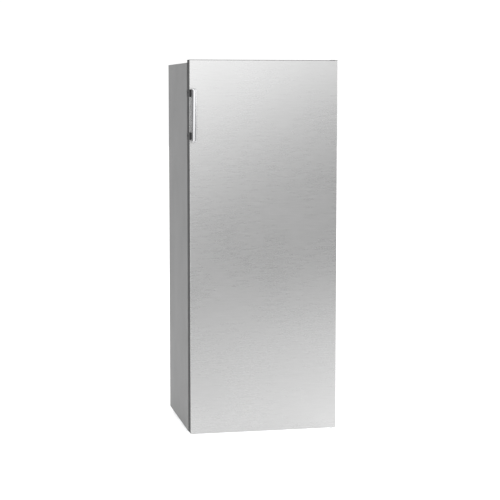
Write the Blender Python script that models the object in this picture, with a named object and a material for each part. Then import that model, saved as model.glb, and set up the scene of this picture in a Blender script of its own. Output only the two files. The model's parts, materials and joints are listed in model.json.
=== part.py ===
"""Upright larder refrigerator with one insulated door, as separate pieces.

Metres, +Z up. X runs across the front, with the hinge at +X and the handle at -X. Y runs from the
door's front to the back, and the feet and rollers stand on Z = 0. Depths are measured back from the
door's front face, and y_at() turns a depth into a Y value. Ranges are (low, high) pairs.
"""

from math import acos, cos, pi, sin, tan

import bmesh
import bpy
from mathutils import Vector

for leftover in list(bpy.data.objects):
    bpy.data.objects.remove(leftover, do_unlink=True)

# Driving dimensions
HALF_WIDTH = 0.280
DOOR_FRONT = -0.252  # Y of the door's front face
CABINET_FRONT = 0.060  # depth
SIDE_BACK = 0.5197  # depth of the side panels' back faces
CABINET_BOTTOM = 0.015
CABINET_TOP = 1.400
DOOR_BACK = 0.052
DOOR_BOTTOM = 0.0165
DOOR_TOP = 1.410
GAP = 0.0003  # between pieces that touch
SHEET = 0.001
BEND = 0.0025  # outer radius of a folded sheet

# Cabinet shell and cavity
FRONT_FLANGE = 0.025
REAR_FLANGE = 0.012
INSIDE_HALF = HALF_WIDTH - SHEET - GAP  # between the side panels
FLANGE_HALF = HALF_WIDTH - FRONT_FLANGE - GAP  # between the side panels' front flanges
SHELL_FRONT = CABINET_FRONT + BEND + GAP  # clear of the side panels' bends
SHELL_BACK = SIDE_BACK - BEND - GAP
TOP_FLANGE = 0.025
BOTTOM_FLANGE = 0.035
BAY_FRONT = 0.336  # the compressor bay, under the stepped bottom panel
BAY_TOP = 0.234
CAVITY_HALF = 0.238
CAVITY_BOTTOM = 0.072
CAVITY_TOP = 1.350
CAVITY_BACK = 0.463
STEP_DEPTH = 0.290
STEP_TOP = 0.282
LINER = 0.002
CAVITY_ROUND = 0.012
FOAM_GAP = 0.0005

# Shelves and crisper
SHELF_LEVELS = (0.560, 0.745, 0.925, 1.100)  # undersides of the glass
CRISPER_LEVEL = 0.375
GLASS = 0.004
GLASS_HALF = 0.2362
GLASS_FRONT = 0.1815
GLASS_BACK = 0.455
LEDGE_HALF = 0.229  # the ledges' inner edges

# Door
SKIN = 0.0008
TRIM = 0.0015
CAP = 0.018
SKIN_TOP = DOOR_TOP - 0.0016
LINER_FACE = 0.0517  # depth of the door liner's flat face
DYKE_NEAR = 0.190
DYKE_FAR = 0.222
DYKE_DEPTH = 0.100
BOSS_DEPTHS = (0.070, 0.082)
BOSS_HEIGHTS = (0.010, 0.022)  # above a rack's floor
RACK_FLOOR = 0.003
RACK_HALF = 0.1857
RACK_DEPTHS = (0.054, 0.155)
RACKS = {
    "bottle_rack": (0.392, 0.515),
    "door_rack_lower": (0.762, 0.840),
    "door_rack_upper": (0.942, 1.015),
    "dairy_rack": (1.118, 1.200),
}

# Hinges
HINGE_X = 0.268
HINGE_DEPTH = 0.026
PIN = 0.004
PIN_ROOM = 0.0003
TOP_PIN_LOW = 1.378
BOTTOM_PIN_HIGH = 0.040
HINGE_PLATE = 0.0025

# Handle
BAR_X = -0.2677
BAR_DEPTH = -0.034
BAR_RANGE = (1.107, 1.305)
BAR_HALF_WIDTH = 0.0095
BAR_HALF_DEPTH = 0.0065
BRACKET_LEVELS = {"handle_bracket_upper": 1.288, "handle_bracket_lower": 1.131}
BRACKET_HEIGHT = 0.026

# Feet, rollers and cooling
FOOT_X = 0.225
FOOT_DEPTH = 0.105
STUD = 0.004
ROLLER_X = 0.235
ROLLER_DEPTH = 0.490
ROLLER = 0.014
AXLE = 0.003
BASE_PLATE = (0.030, 0.032)
DRAIN_X = 0.060
DRAIN_DEPTH = 0.430
COMPRESSOR_DEPTH = 0.428
HOSE = 0.0075  # the drain hose's outer radius
SUCTION_X = -0.120
SUCTION_DEPTH = 0.470
SUCTION_PIPE = 0.004
TUBE = 0.0025
TUBE_DEPTH = 0.5395
TUBE_LOW = 0.250  # where the discharge pipe meets the condenser tube
CONDENSER_HALF = 0.205
CONDENSER_RANGE = (0.310, 1.290)
RUNS = 13
RISER_X = -0.232
OUTLET_X = 0.222
DRIER_DEPTH = 0.503
DRIER_TOP = 0.190
EVAPORATOR_HALF = 0.200
EVAPORATOR_RANGE = (0.750, 1.300)
EVAPORATOR_FRONT = CAVITY_BACK + LINER + GAP
EVAPORATOR_BACK = EVAPORATOR_FRONT + 0.002
GLAND_X = -0.200
GLAND_Z = 0.046

# Controls inside
CONTROL_FAR = 0.2375  # X of the controls' backs, just clear of the liner's wall
HOUSING_NEAR = 0.196
HOUSING_BACK = 0.260
LAMP_NEAR = 0.198
KNOB_DEPTH = 0.200
KNOB_Z = 1.285
SWITCH_X = 0.206
SWITCH_Z = 1.260


def y_at(depth):
    return DOOR_FRONT + depth


def span(side, near, far):
    """The X range from near to far, on the +X side for 1 and on the -X side for -1."""
    return tuple(sorted((side * near, side * far)))


def make_material(name, colour, roughness, metallic=0.0):
    material = bpy.data.materials.new(name)
    material.use_nodes = True
    shader = material.node_tree.nodes["Principled BSDF"]
    shader.inputs["Base Color"].default_value = (*colour, 1.0)
    shader.inputs["Roughness"].default_value = roughness
    shader.inputs["Metallic"].default_value = metallic
    return material


# Outlines and routes


def rounded(points, radius, steps=3, closed=True):
    """The points with an arc at each corner; an open line keeps its two ends."""
    corners = [Vector(point) for point in points]
    count = len(corners)
    line = [] if closed else [corners[0]]
    for index in range(count) if closed else range(1, count - 1):
        corner = corners[index]
        inward = (corner - corners[index - 1]).normalized()
        outward = (corners[(index + 1) % count] - corner).normalized()
        turn = acos(max(-1.0, min(1.0, inward.dot(outward))))
        centre = corner + (outward - inward).normalized() * radius / cos(turn / 2)
        setback = radius * tan(turn / 2)
        start = corner - inward * setback - centre
        end = corner + outward * setback - centre
        for step in range(steps + 1):
            share = step / steps
            blend = start * sin((1 - share) * turn) + end * sin(share * turn)
            line.append(centre + blend / sin(turn))
    return line if closed else line + [corners[-1]]


def bent_sheet(path, thickness, bend=BEND, steps=3):
    """The outline of a folded sheet whose outer line is path, with its metal on the path's left."""
    points = [Vector(point) for point in path]
    outer, inner = [], []
    for index, point in enumerate(points):
        before = points[index] - points[index - 1] if index else points[1] - points[0]
        after = points[index + 1] - point if index + 1 < len(points) else before
        before, after = before.normalized(), after.normalized()
        left = Vector((-before.y, before.x))
        side = before.x * after.y - before.y * after.x
        if abs(side) < 1e-6:
            outer.append(point)
            inner.append(point + left * thickness)
            continue
        turn = acos(max(-1.0, min(1.0, before.dot(after))))
        side = 1 if side > 0 else -1
        centre = point - before * bend * tan(turn / 2) + left * side * bend
        for step in range(steps + 1):
            angle = side * turn * step / steps
            normal = Vector((
                left.x * cos(angle) - left.y * sin(angle),
                left.x * sin(angle) + left.y * cos(angle),
            ))
            outer.append(centre - side * normal * bend)
            inner.append(centre - side * normal * bend + normal * thickness)
    return outer + inner[::-1]


# Solids


def box(x, depth, z, shape=None):
    """A box, added to shape if one is given."""
    shape = shape or bmesh.new()
    corners = [shape.verts.new((a, y_at(b), c)) for a in x for b in depth for c in z]
    for quad in ((0, 1, 3, 2), (4, 6, 7, 5), (0, 4, 5, 1), (2, 3, 7, 6), (0, 2, 6, 4), (1, 5, 7, 3)):
        shape.faces.new([corners[index] for index in quad])
    return shape


def prism(outline, axis, ends, shape=None):
    """An outline pushed along an axis: (depth, z) along X, (x, z) along Y or (x, depth) along Z."""
    place = {
        "X": lambda point, end: (end, y_at(point[0]), point[1]),
        "Y": lambda point, end: (point[0], y_at(end), point[1]),
        "Z": lambda point, end: (point[0], y_at(point[1]), end),
    }[axis]
    shape = shape or bmesh.new()
    first, last = [[shape.verts.new(place(p, end)) for p in outline] for end in ends]
    faces = [shape.faces.new(first), shape.faces.new(last[::-1])]
    for index, vertex in enumerate(first):
        faces.append(shape.faces.new((vertex, last[index - len(last)], last[index - 1], first[index - 1])))
    bmesh.ops.recalc_face_normals(shape, faces=faces)
    return shape


def turned(profile, centre, axis="Z", segments=24, flatten=1.0, bored=False, shape=None):
    """A profile of (radius, distance along the axis) points turned about an axis through centre.

    Flatten scales the second direction of the circle. A bored profile closes on itself."""
    x, depth, z = centre
    place = {
        "X": lambda u, v, w: (x + w, y_at(depth) + u, z + v),
        "Y": lambda u, v, w: (x + u, y_at(depth) + w, z + v),
        "Z": lambda u, v, w: (x + u, y_at(depth) + v, z + w),
    }[axis]
    shape = shape or bmesh.new()
    rings = []
    for radius, along in profile:
        angles = [2 * pi * step / segments for step in range(segments)]
        ring = [place(radius * cos(a), flatten * radius * sin(a), along) for a in angles]
        rings.append([shape.verts.new(point) for point in ring])
    faces = []
    for index in range(0 if bored else 1, len(rings)):
        lower, upper = rings[index - 1], rings[index]
        for step in range(segments):
            faces.append(shape.faces.new((lower[step - 1], lower[step], upper[step], upper[step - 1])))
    if not bored:
        faces += [shape.faces.new(rings[0]), shape.faces.new(rings[-1])]
    bmesh.ops.recalc_face_normals(shape, faces=faces)
    return shape


def rod(radius, centre, axis, ends, segments=16, shape=None):
    """A plain cylinder; its ends are distances from centre along the axis."""
    return turned([(radius, ends[0]), (radius, ends[1])], centre, axis, segments, shape=shape)


# Objects


def world_origin(thing):
    """Where an object's origin lies: nothing here is rotated or scaled, so locations add up."""
    origin = Vector()
    while thing:
        origin += thing.location
        thing = thing.parent
    return origin


def add_empty(name, location):
    empty = bpy.data.objects.new(name, None)
    empty.location = location
    bpy.context.scene.collection.objects.link(empty)
    return empty


def add_piece(name, shape, material, pivot=(0, 0, 0), parent=None, smooth=False):
    """An object from a shape in world coordinates, with its origin at pivot."""
    bmesh.ops.translate(shape, verts=shape.verts, vec=-Vector(pivot))
    mesh = bpy.data.meshes.new(name)
    shape.to_mesh(mesh)
    shape.free()
    mesh.materials.append(material)
    if smooth:
        mesh.shade_smooth()
        mesh.set_sharp_from_angle(angle=pi / 6)
    piece = bpy.data.objects.new(name, mesh)
    piece.parent = parent
    piece.location = Vector(pivot) - world_origin(parent)
    bpy.context.scene.collection.objects.link(piece)
    return piece


def add_tube(name, route, radius, material):
    """A round pipe along a route of (x, depth, z) points."""
    curve = bpy.data.curves.new(name, "CURVE")
    curve.dimensions = "3D"
    curve.bevel_depth = radius
    curve.bevel_resolution = 2
    curve.use_fill_caps = True
    spline = curve.splines.new("POLY")
    spline.points.add(len(route) - 1)
    for point, (x, depth, z) in zip(spline.points, route):
        point.co = (x, y_at(depth), z, 1.0)
    curve.materials.append(material)
    tube = bpy.data.objects.new(name, curve)
    bpy.context.scene.collection.objects.link(tube)
    return tube


def combine(piece, operation, shape):
    """Cut a hidden shape out of a piece, or join it on."""
    name = f"{operation.lower()}_{piece.name}_{len(piece.modifiers) + 1}"
    mesh = bpy.data.meshes.new(name)
    shape.to_mesh(mesh)
    shape.free()
    guide = bpy.data.objects.new(name, mesh)
    guide.hide_render = True
    guide.display_type = "WIRE"
    bpy.context.scene.collection.objects.link(guide)
    boolean = piece.modifiers.new(name, "BOOLEAN")
    boolean.operation = operation
    boolean.solver = "EXACT"
    boolean.object = guide


def cut(piece, shape):
    combine(piece, "DIFFERENCE", shape)


def join(piece, shape):
    combine(piece, "UNION", shape)


def bevel(piece, width, segments=2):
    modifier = piece.modifiers.new("bevel", "BEVEL")
    modifier.width = width
    modifier.segments = segments
    modifier.limit_method = "ANGLE"
    modifier.angle_limit = pi / 4


# Cabinet


def make_side_panels():
    path = [
        (HALF_WIDTH - FRONT_FLANGE, CABINET_FRONT),
        (HALF_WIDTH, CABINET_FRONT),
        (HALF_WIDTH, SIDE_BACK),
        (HALF_WIDTH - REAR_FLANGE, SIDE_BACK),
    ]
    for name, side in (("side_panel_left", -1), ("side_panel_right", 1)):
        outline = [(side * x, depth) for x, depth in bent_sheet(path, SHEET)]
        add_piece(name, prism(outline, "Z", (CABINET_BOTTOM, CABINET_TOP)), CABINET_PAINT)


def make_top_panel():
    sheet = (CABINET_TOP - SHEET, CABINET_TOP)
    lap = 0.020
    shape = box((-INSIDE_HALF, INSIDE_HALF), (SHELL_FRONT, SHELL_BACK), sheet)
    panel = add_piece("top_panel", shape, CABINET_PAINT)
    lip = [
        (CABINET_FRONT + lap, CABINET_TOP),
        (CABINET_FRONT, CABINET_TOP),
        (CABINET_FRONT, CABINET_TOP - TOP_FLANGE),
    ]
    join(panel, prism(bent_sheet(lip, SHEET), "X", (-FLANGE_HALF, FLANGE_HALF)))


def make_bottom_panel():
    path = [
        (SHELL_FRONT, CABINET_BOTTOM),
        (BAY_FRONT, CABINET_BOTTOM),
        (BAY_FRONT, BAY_TOP),
        (SHELL_BACK, BAY_TOP),
    ]
    shape = prism(bent_sheet(path, SHEET), "X", (-INSIDE_HALF, INSIDE_HALF))
    panel = add_piece("bottom_panel", shape, GALVANISED)
    lap = 0.015
    lip = [
        (CABINET_FRONT, CABINET_BOTTOM + BOTTOM_FLANGE),
        (CABINET_FRONT, CABINET_BOTTOM),
        (CABINET_FRONT + lap, CABINET_BOTTOM),
    ]
    join(panel, prism(bent_sheet(lip, SHEET), "X", (-FLANGE_HALF, FLANGE_HALF)))
    stud_hole, hose_hole, pipe_hole = STUD + 0.0004, HOSE + 0.0008, SUCTION_PIPE + 0.001
    through = (-0.01, 0.01)
    holes = bmesh.new()
    for side in (-1, 1):
        rod(stud_hole, (side * FOOT_X, FOOT_DEPTH, CABINET_BOTTOM), "Z", through, shape=holes)
    rod(hose_hole, (DRAIN_X, DRAIN_DEPTH, BAY_TOP), "Z", through, shape=holes)
    rod(pipe_hole, (SUCTION_X, SUCTION_DEPTH, BAY_TOP), "Z", through, shape=holes)
    cut(panel, holes)


def make_back_panel():
    front = SIDE_BACK + GAP
    half = HALF_WIDTH - 0.001
    heights = (BAY_TOP + 0.006, CABINET_TOP - 0.002)
    shape = box((-half, half), (front, front + SKIN), heights)
    add_piece("back_panel", shape, GALVANISED)


def cavity_outline(margin, front):
    """The cavity seen from the side, with its step over the compressor bay, grown by margin."""
    return rounded(
        [
            (front, CAVITY_BOTTOM - margin),
            (STEP_DEPTH + margin, CAVITY_BOTTOM - margin),
            (STEP_DEPTH + margin, STEP_TOP - margin),
            (CAVITY_BACK + margin, STEP_TOP - margin),
            (CAVITY_BACK + margin, CAVITY_TOP + margin),
            (front, CAVITY_TOP + margin),
        ],
        CAVITY_ROUND,
    )


def make_inner_liner():
    half = CAVITY_HALF + LINER
    ahead = CABINET_FRONT - 2 * CAVITY_ROUND
    shape = prism(cavity_outline(LINER, ahead), "X", (-half, half))
    liner = add_piece("inner_liner", shape, LINER_PLASTIC)
    cut(liner, box((-HALF_WIDTH, HALF_WIDTH), (0, CABINET_FRONT), (0, DOOR_TOP)))
    heights = (CABINET_BOTTOM + BOTTOM_FLANGE + GAP, CABINET_TOP - TOP_FLANGE - GAP)
    join(liner, box((-FLANGE_HALF, FLANGE_HALF), (CABINET_FRONT, CABINET_FRONT + LINER), heights))
    cut(liner, prism(cavity_outline(0, ahead), "X", (-CAVITY_HALF, CAVITY_HALF)))
    ledges = bmesh.new()
    ledge_depths = (0.192, 0.452)
    ledge_height, rib_height, rib_room = 0.005, 0.004, 0.0012
    buried = CAVITY_HALF + LINER / 2
    for level in (CRISPER_LEVEL,) + SHELF_LEVELS:
        top = level - GAP
        rib = level + GLASS + rib_room
        for side in (-1, 1):
            across = span(side, LEDGE_HALF, buried)
            box(across, ledge_depths, (top - ledge_height, top), ledges)
            box(across, ledge_depths, (rib, rib + rib_height), ledges)
    join(liner, ledges)
    drain_hole = 0.006
    cut(liner, rod(drain_hole, (DRAIN_X, DRAIN_DEPTH, STEP_TOP), "Z", (-0.01, 0.01)))


def make_cabinet_foam():
    inset = SHEET + FOAM_GAP
    half = HALF_WIDTH - inset
    front = SHELL_FRONT
    heights = (CABINET_BOTTOM + inset, CABINET_TOP - inset)
    shape = box((-half, half), (front, SHELL_BACK - GAP), heights)
    foam = add_piece("cabinet_foam", shape, FOAM)
    bay = (BAY_FRONT - inset, SIDE_BACK)
    cut(foam, box((-HALF_WIDTH, HALF_WIDTH), bay, (0, BAY_TOP + inset)))
    margin = LINER + FOAM_GAP
    hollow = CAVITY_HALF + margin
    cut(foam, prism(cavity_outline(margin, 0), "X", (-hollow, hollow)))
    half = EVAPORATOR_HALF + FOAM_GAP
    low, high = EVAPORATOR_RANGE
    depths = (CAVITY_BACK, EVAPORATOR_BACK + FOAM_GAP)
    pockets = box((-half, half), depths, (low - FOAM_GAP, high + FOAM_GAP))
    stud_room, stud_end = STUD + 0.0008, 0.050
    for side in (-1, 1):
        rod(stud_room, (side * FOOT_X, FOOT_DEPTH, 0), "Z", (0, stud_end), shape=pockets)
    through, pipe_end = (0, STEP_TOP - BAY_TOP), (0, 0.032)
    rod(HOSE + FOAM_GAP, (DRAIN_X, DRAIN_DEPTH, BAY_TOP), "Z", through, shape=pockets)
    rod(SUCTION_PIPE + SHEET, (SUCTION_X, SUCTION_DEPTH, BAY_TOP), "Z", pipe_end, shape=pockets)
    cut(foam, pockets)


def make_evaporator_plate():
    x, depths = (-EVAPORATOR_HALF, EVAPORATOR_HALF), (EVAPORATOR_FRONT, EVAPORATOR_BACK)
    add_piece("evaporator_plate", box(x, depths, EVAPORATOR_RANGE), ALUMINIUM)


# Shelves and crisper


def glass_pane(name, level, pivot):
    shape = box((-GLASS_HALF, GLASS_HALF), (GLASS_FRONT, GLASS_BACK), (level, level + GLASS))
    return add_piece(name, shape, GLASS_PANE, pivot)


def make_shelves():
    for number, level in enumerate(SHELF_LEVELS, start=1):
        pivot = (0, y_at(GLASS_FRONT), level)
        glass_pane(f"shelf_{number}_glass", level, pivot)
        front, back, groove = 0.172, 0.190, GLASS_FRONT - GAP
        bottom, top = level - 0.006, level + GLASS + 0.006
        outline = [
            (back, bottom),
            (back, level - GAP),
            (groove, level - GAP),
            (groove, level + GLASS + GAP),
            (back, level + GLASS + GAP),
            (back, top),
        ]
        face = [(back, top), (front, top), (front, bottom), (back, bottom)]
        outline += rounded(face, 0.005, closed=False)[1:-1]
        half = LEDGE_HALF - 0.0008
        add_piece(f"shelf_{number}_trim", prism(outline, "X", (-half, half)), WHITE_PLASTIC, pivot)
    glass_pane("crisper_cover", CRISPER_LEVEL, (0, y_at(GLASS_FRONT), CRISPER_LEVEL))


def make_crisper_drawer():
    front, heel, back = 0.172, 0.286, 0.445
    low, step, high = 0.0755, 0.2855, 0.362
    wall = 0.0025
    half = 0.232
    corner = 0.010
    profile = [(front, high), (front, low), (heel, low), (heel, step), (back, step), (back, high)]
    profile = rounded(profile, corner, closed=False)
    pivot = (0, y_at(front), low)
    drawer = add_piece("crisper_drawer", prism(profile, "X", (-half, half)), CLEAR_PLASTIC, pivot)
    hollow = [
        (front + wall, high + wall),
        (front + wall, low + wall),
        (heel - wall, low + wall),
        (heel - wall, step + wall),
        (back - wall, step + wall),
        (back - wall, high + wall),
    ]
    hollow = rounded(hollow, corner - wall, closed=False)
    lip_half, lip_front, lip_heights = 0.100, 0.160, (0.330, 0.345)
    join(drawer, box((-lip_half, lip_half), (lip_front, front + wall / 2), lip_heights))
    cut(drawer, prism(hollow, "X", (wall - half, half - wall)))


# Controls inside


def make_controls():
    x, depths, heights = (HOUSING_NEAR, CONTROL_FAR), (0.125, HOUSING_BACK), (1.235, 1.335)
    shape = box(x, depths, heights)
    housing = add_piece("thermostat_housing", shape, WHITE_PLASTIC)
    bevel(housing, 0.004)
    cut(housing, rod(0.0043, (SWITCH_X, 0.120, SWITCH_Z), "Y", (0, 0.022)))
    lamp_depths = (HOUSING_BACK + GAP, 0.370)
    lamp_heights = (1.238, 1.332)
    wall = 0.002
    shape = box((LAMP_NEAR, CONTROL_FAR), lamp_depths, lamp_heights)
    cover = add_piece("lamp_cover", shape, CLEAR_PLASTIC)
    inside = [(ends[0] + wall, ends[1] - wall) for ends in (lamp_depths, lamp_heights)]
    cut(cover, box((LAMP_NEAR + wall, CAVITY_HALF + wall), *inside))
    knob_centre = (HOUSING_NEAR - FOAM_GAP, KNOB_DEPTH, KNOB_Z)
    profile = [(0.017, 0), (0.017, -0.004), (0.0155, -0.006), (0.0155, -0.007)]
    shape = turned(profile, knob_centre, "X", segments=32)
    x, depth, z = knob_centre
    knob = add_piece("thermostat_knob", shape, WHITE_PLASTIC, (x, y_at(depth), z), smooth=True)
    grip = (x - 0.012, x - 0.006)
    join(knob, box(grip, (depth - 0.003, depth + 0.003), (z - 0.014, z + 0.014)))
    profile = [(0.0028, 0), (PIN, 0.0012), (PIN, 0.0365)]
    centre = (SWITCH_X, DYKE_DEPTH + FOAM_GAP, SWITCH_Z)
    pivot = (centre[0], y_at(centre[1]), centre[2])
    add_piece("door_switch", turned(profile, centre, "Y", segments=16), WHITE_PLASTIC, pivot, smooth=True)


# Door


def make_door_shell(axis):
    skin = [
        (-HALF_WIDTH, 0.003),
        (-HALF_WIDTH, 0),
        (HALF_WIDTH, 0),
        (HALF_WIDTH, 0.003),
    ]
    outline = bent_sheet(skin, SKIN, bend=0.0014)
    pivot = axis.location
    add_piece("door_front_skin", prism(outline, "Z", (DOOR_BOTTOM, SKIN_TOP)), STAINLESS, pivot, axis)
    between_caps = (DOOR_BOTTOM + CAP + GAP, DOOR_TOP - CAP - GAP)
    trim_front = 0.003 + GAP
    rear_fold = 0.014
    path = [(HALF_WIDTH, trim_front), (HALF_WIDTH, DOOR_BACK), (HALF_WIDTH - rear_fold, DOOR_BACK)]
    for name, side in (("door_side_trim_left", -1), ("door_side_trim_right", 1)):
        outline = [(side * x, depth) for x, depth in bent_sheet(path, TRIM)]
        add_piece(name, prism(outline, "Z", between_caps), DARK_TRIM, pivot, axis)
    return between_caps


def cap_outline():
    """A door cap from above: it stands between the skin's side folds and behind the skin."""
    tongue = HALF_WIDTH - SKIN - GAP
    front, back, shoulder = SKIN + GAP, DOOR_BACK, 0.003 + GAP
    return [
        (-tongue, front),
        (tongue, front),
        (tongue, shoulder),
        (HALF_WIDTH, shoulder),
        (HALF_WIDTH, back),
        (-HALF_WIDTH, back),
        (-HALF_WIDTH, shoulder),
        (-tongue, shoulder),
    ]


def make_door_caps(axis):
    pivot = axis.location
    low, high = DOOR_TOP - CAP, DOOR_TOP
    top = add_piece("door_top_cap", prism(cap_outline(), "Z", (low, SKIN_TOP + GAP)), DARK_TRIM, pivot, axis)
    join(top, box((-HALF_WIDTH, HALF_WIDTH), (0, DOOR_BACK), (SKIN_TOP + GAP, high)))
    notch_floor = low + 0.0045
    cut(top, box((0.205, HALF_WIDTH + 0.01), (0.006, DOOR_BACK + 0.01), (notch_floor, high + 0.01)))
    pin_hole = PIN + PIN_ROOM
    cut(top, rod(pin_hole, (HINGE_X, HINGE_DEPTH, low), "Z", (-0.01, 0.02)))
    low, high = DOOR_BOTTOM, DOOR_BOTTOM + CAP
    bottom = add_piece("door_bottom_cap", prism(cap_outline(), "Z", (low, high)), DARK_TRIM, pivot, axis)
    cut(bottom, rod(pin_hole, (HINGE_X, HINGE_DEPTH, low), "Z", (-0.01, CAP + 0.01)))


def make_door_foam(axis, heights):
    half = HALF_WIDTH - TRIM - FOAM_GAP
    depths = (SKIN + GAP, DOOR_BACK - TRIM - FOAM_GAP)
    foam = add_piece("door_foam", box((-half, half), depths, heights), FOAM, axis.location, axis)
    bush = PIN + 0.0008
    ends = (heights[0] - 0.01, BOTTOM_PIN_HIGH + 0.0015)
    pockets = rod(bush, (HINGE_X, HINGE_DEPTH, 0), "Z", ends)
    ends = (TOP_PIN_LOW - 0.0015, heights[1] + 0.01)
    rod(bush, (HINGE_X, HINGE_DEPTH, 0), "Z", ends, shape=pockets)
    cut(foam, pockets)


def make_door_liner(axis, heights):
    half = HALF_WIDTH - 0.014 - GAP
    back = DOOR_BACK - TRIM
    shape = box((-half, half), (back, LINER_FACE), heights)
    liner = add_piece("door_inner_liner", shape, LINER_PLASTIC, axis.location, axis)
    root = (back + LINER_FACE) / 2
    dyke_heights = (0.100, 1.345)
    ribs = bmesh.new()
    for side in (-1, 1):
        near, far = span(side, DYKE_NEAR, DYKE_FAR)
        nose = [(near, root), (near, DYKE_DEPTH), (far, DYKE_DEPTH), (far, root)]
        prism(rounded(nose, 0.006, closed=False), "Z", dyke_heights, ribs)
    join(liner, ribs)
    crossing = bmesh.new()
    for low in (0.080, 1.325):
        box((-DYKE_FAR, DYKE_FAR), (root, 0.060), (low, low + 0.021), crossing)
    join(liner, crossing)
    bosses = bmesh.new()
    for low, _ in RACKS.values():
        for side in (-1, 1):
            across = span(side, DYKE_NEAR - 0.010, DYKE_NEAR + 0.001)
            box(across, BOSS_DEPTHS, (low + BOSS_HEIGHTS[0], low + BOSS_HEIGHTS[1]), bosses)
    join(liner, bosses)


def make_gasket(axis):
    outer_half, outer = 0.262, (0.030, 1.385)
    face = 0.019
    depths = (DOOR_BACK, CABINET_FRONT - GAP)
    shape = box((-outer_half, outer_half), depths, outer)
    gasket = add_piece("door_gasket", shape, GASKET_RUBBER, axis.location, axis)
    inner_half = outer_half - face
    inner = (outer[0] + face, outer[1] - face)
    cut(gasket, box((-inner_half, inner_half), (0, 0.1), inner))


def make_racks(axis):
    wall = 0.0025
    for name, (low, high) in RACKS.items():
        pivot = (0, y_at(RACK_DEPTHS[0]), low)
        shape = box((-RACK_HALF, RACK_HALF), RACK_DEPTHS, (low, high))
        rack = add_piece(name, shape, CLEAR_PLASTIC, pivot, axis)
        half = RACK_HALF - wall
        depths = (RACK_DEPTHS[0] + wall, RACK_DEPTHS[1] - wall)
        cut(rack, box((-half, half), depths, (low + RACK_FLOOR, high + RACK_FLOOR)))
        slots = bmesh.new()
        depths = (BOSS_DEPTHS[0] - GAP, BOSS_DEPTHS[1] + GAP)
        for side in (-1, 1):
            across = span(side, DYKE_NEAR - 0.010 - GAP, DYKE_NEAR)
            box(across, depths, (low - RACK_FLOOR, low + BOSS_HEIGHTS[1] + GAP), slots)
        cut(rack, slots)


def make_egg_tray(axis):
    low = RACKS["door_rack_upper"][0] + RACK_FLOOR + GAP
    high = low + 0.020
    x, depths = (-0.178, -0.010), (0.060, 0.149)
    pivot = (x[0], y_at(depths[0]), low)
    tray = add_piece("egg_tray", box(x, depths, (low, high)), WHITE_PLASTIC, pivot, axis)
    cup = [(0.005, -0.017), (0.012, -0.014), (0.0165, -0.008), (0.0185, 0.001)]
    columns, rows = 4, 2
    across = (x[1] - x[0]) / columns
    deep = (depths[1] - depths[0]) / rows
    cups = bmesh.new()
    for column in range(columns):
        for row in range(rows):
            centre = (x[0] + across * (column + 0.5), depths[0] + deep * (row + 0.5), high)
            turned(cup, centre, segments=16, shape=cups)
    cut(tray, cups)


def make_dairy_cover(axis):
    hinge_depth, top = 0.0575, 1.2055
    front, lip = 0.1605, 1.170
    plate = 0.002
    half = RACK_HALF - 0.0017
    pivot = (0, y_at(hinge_depth), top - plate / 2)
    path = [(front, lip), (front, top), (hinge_depth, top)]
    shape = prism(bent_sheet(path, plate, bend=0.006, steps=4), "X", (-half, half))
    cover = add_piece("dairy_cover", shape, CLEAR_PLASTIC, pivot, axis)
    barrel = 0.003
    join(cover, rod(barrel, (0, hinge_depth, top - plate / 2), "X", (-half, half), segments=12))


# Handle


def make_handle(axis):
    pivot = axis.location
    low, high = BAR_RANGE
    dome = 0.006
    steps = 4
    ends = []
    for step in range(steps + 1):
        angle = pi / 2 * step / steps
        ends.append((max(0.002, BAR_HALF_WIDTH * sin(angle)), dome * (1 - cos(angle))))
    profile = [(radius, low + rise) for radius, rise in ends]
    profile += [(radius, high - rise) for radius, rise in reversed(ends)]
    flatten = BAR_HALF_DEPTH / BAR_HALF_WIDTH
    shape = turned(profile, (BAR_X, BAR_DEPTH, 0), segments=28, flatten=flatten)
    add_piece("handle_bar", shape, BRIGHT_METAL, pivot, axis, smooth=True)
    thickness = 0.0027
    outer = -HALF_WIDTH - GAP - thickness
    reach = BAR_DEPTH + BAR_HALF_DEPTH + GAP
    path = [(BAR_X + 0.007, reach), (outer, reach), (outer, 0.046)]
    outline = bent_sheet(path[::-1], thickness, bend=0.005, steps=4)
    for name, level in BRACKET_LEVELS.items():
        ends = (level - BRACKET_HEIGHT / 2, level + BRACKET_HEIGHT / 2)
        bracket = add_piece(name, prism(outline, "Z", ends), DARK_TRIM, pivot, axis)
        bevel(bracket, 0.0006, segments=1)


# Hinges


def hinge_outline(arm, left, shoulder, back):
    """A hinge plate from above: a round-nosed arm on the pin that widens behind the shoulder."""
    steps = 10
    angles = [pi * step / steps for step in range(steps + 1)]
    nose = [(HINGE_X - arm * cos(angle), HINGE_DEPTH - arm * sin(angle)) for angle in angles]
    right = HINGE_X + arm
    return nose + [(right, back), (left, back), (left, shoulder), (HINGE_X - arm, shoulder)]


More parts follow.
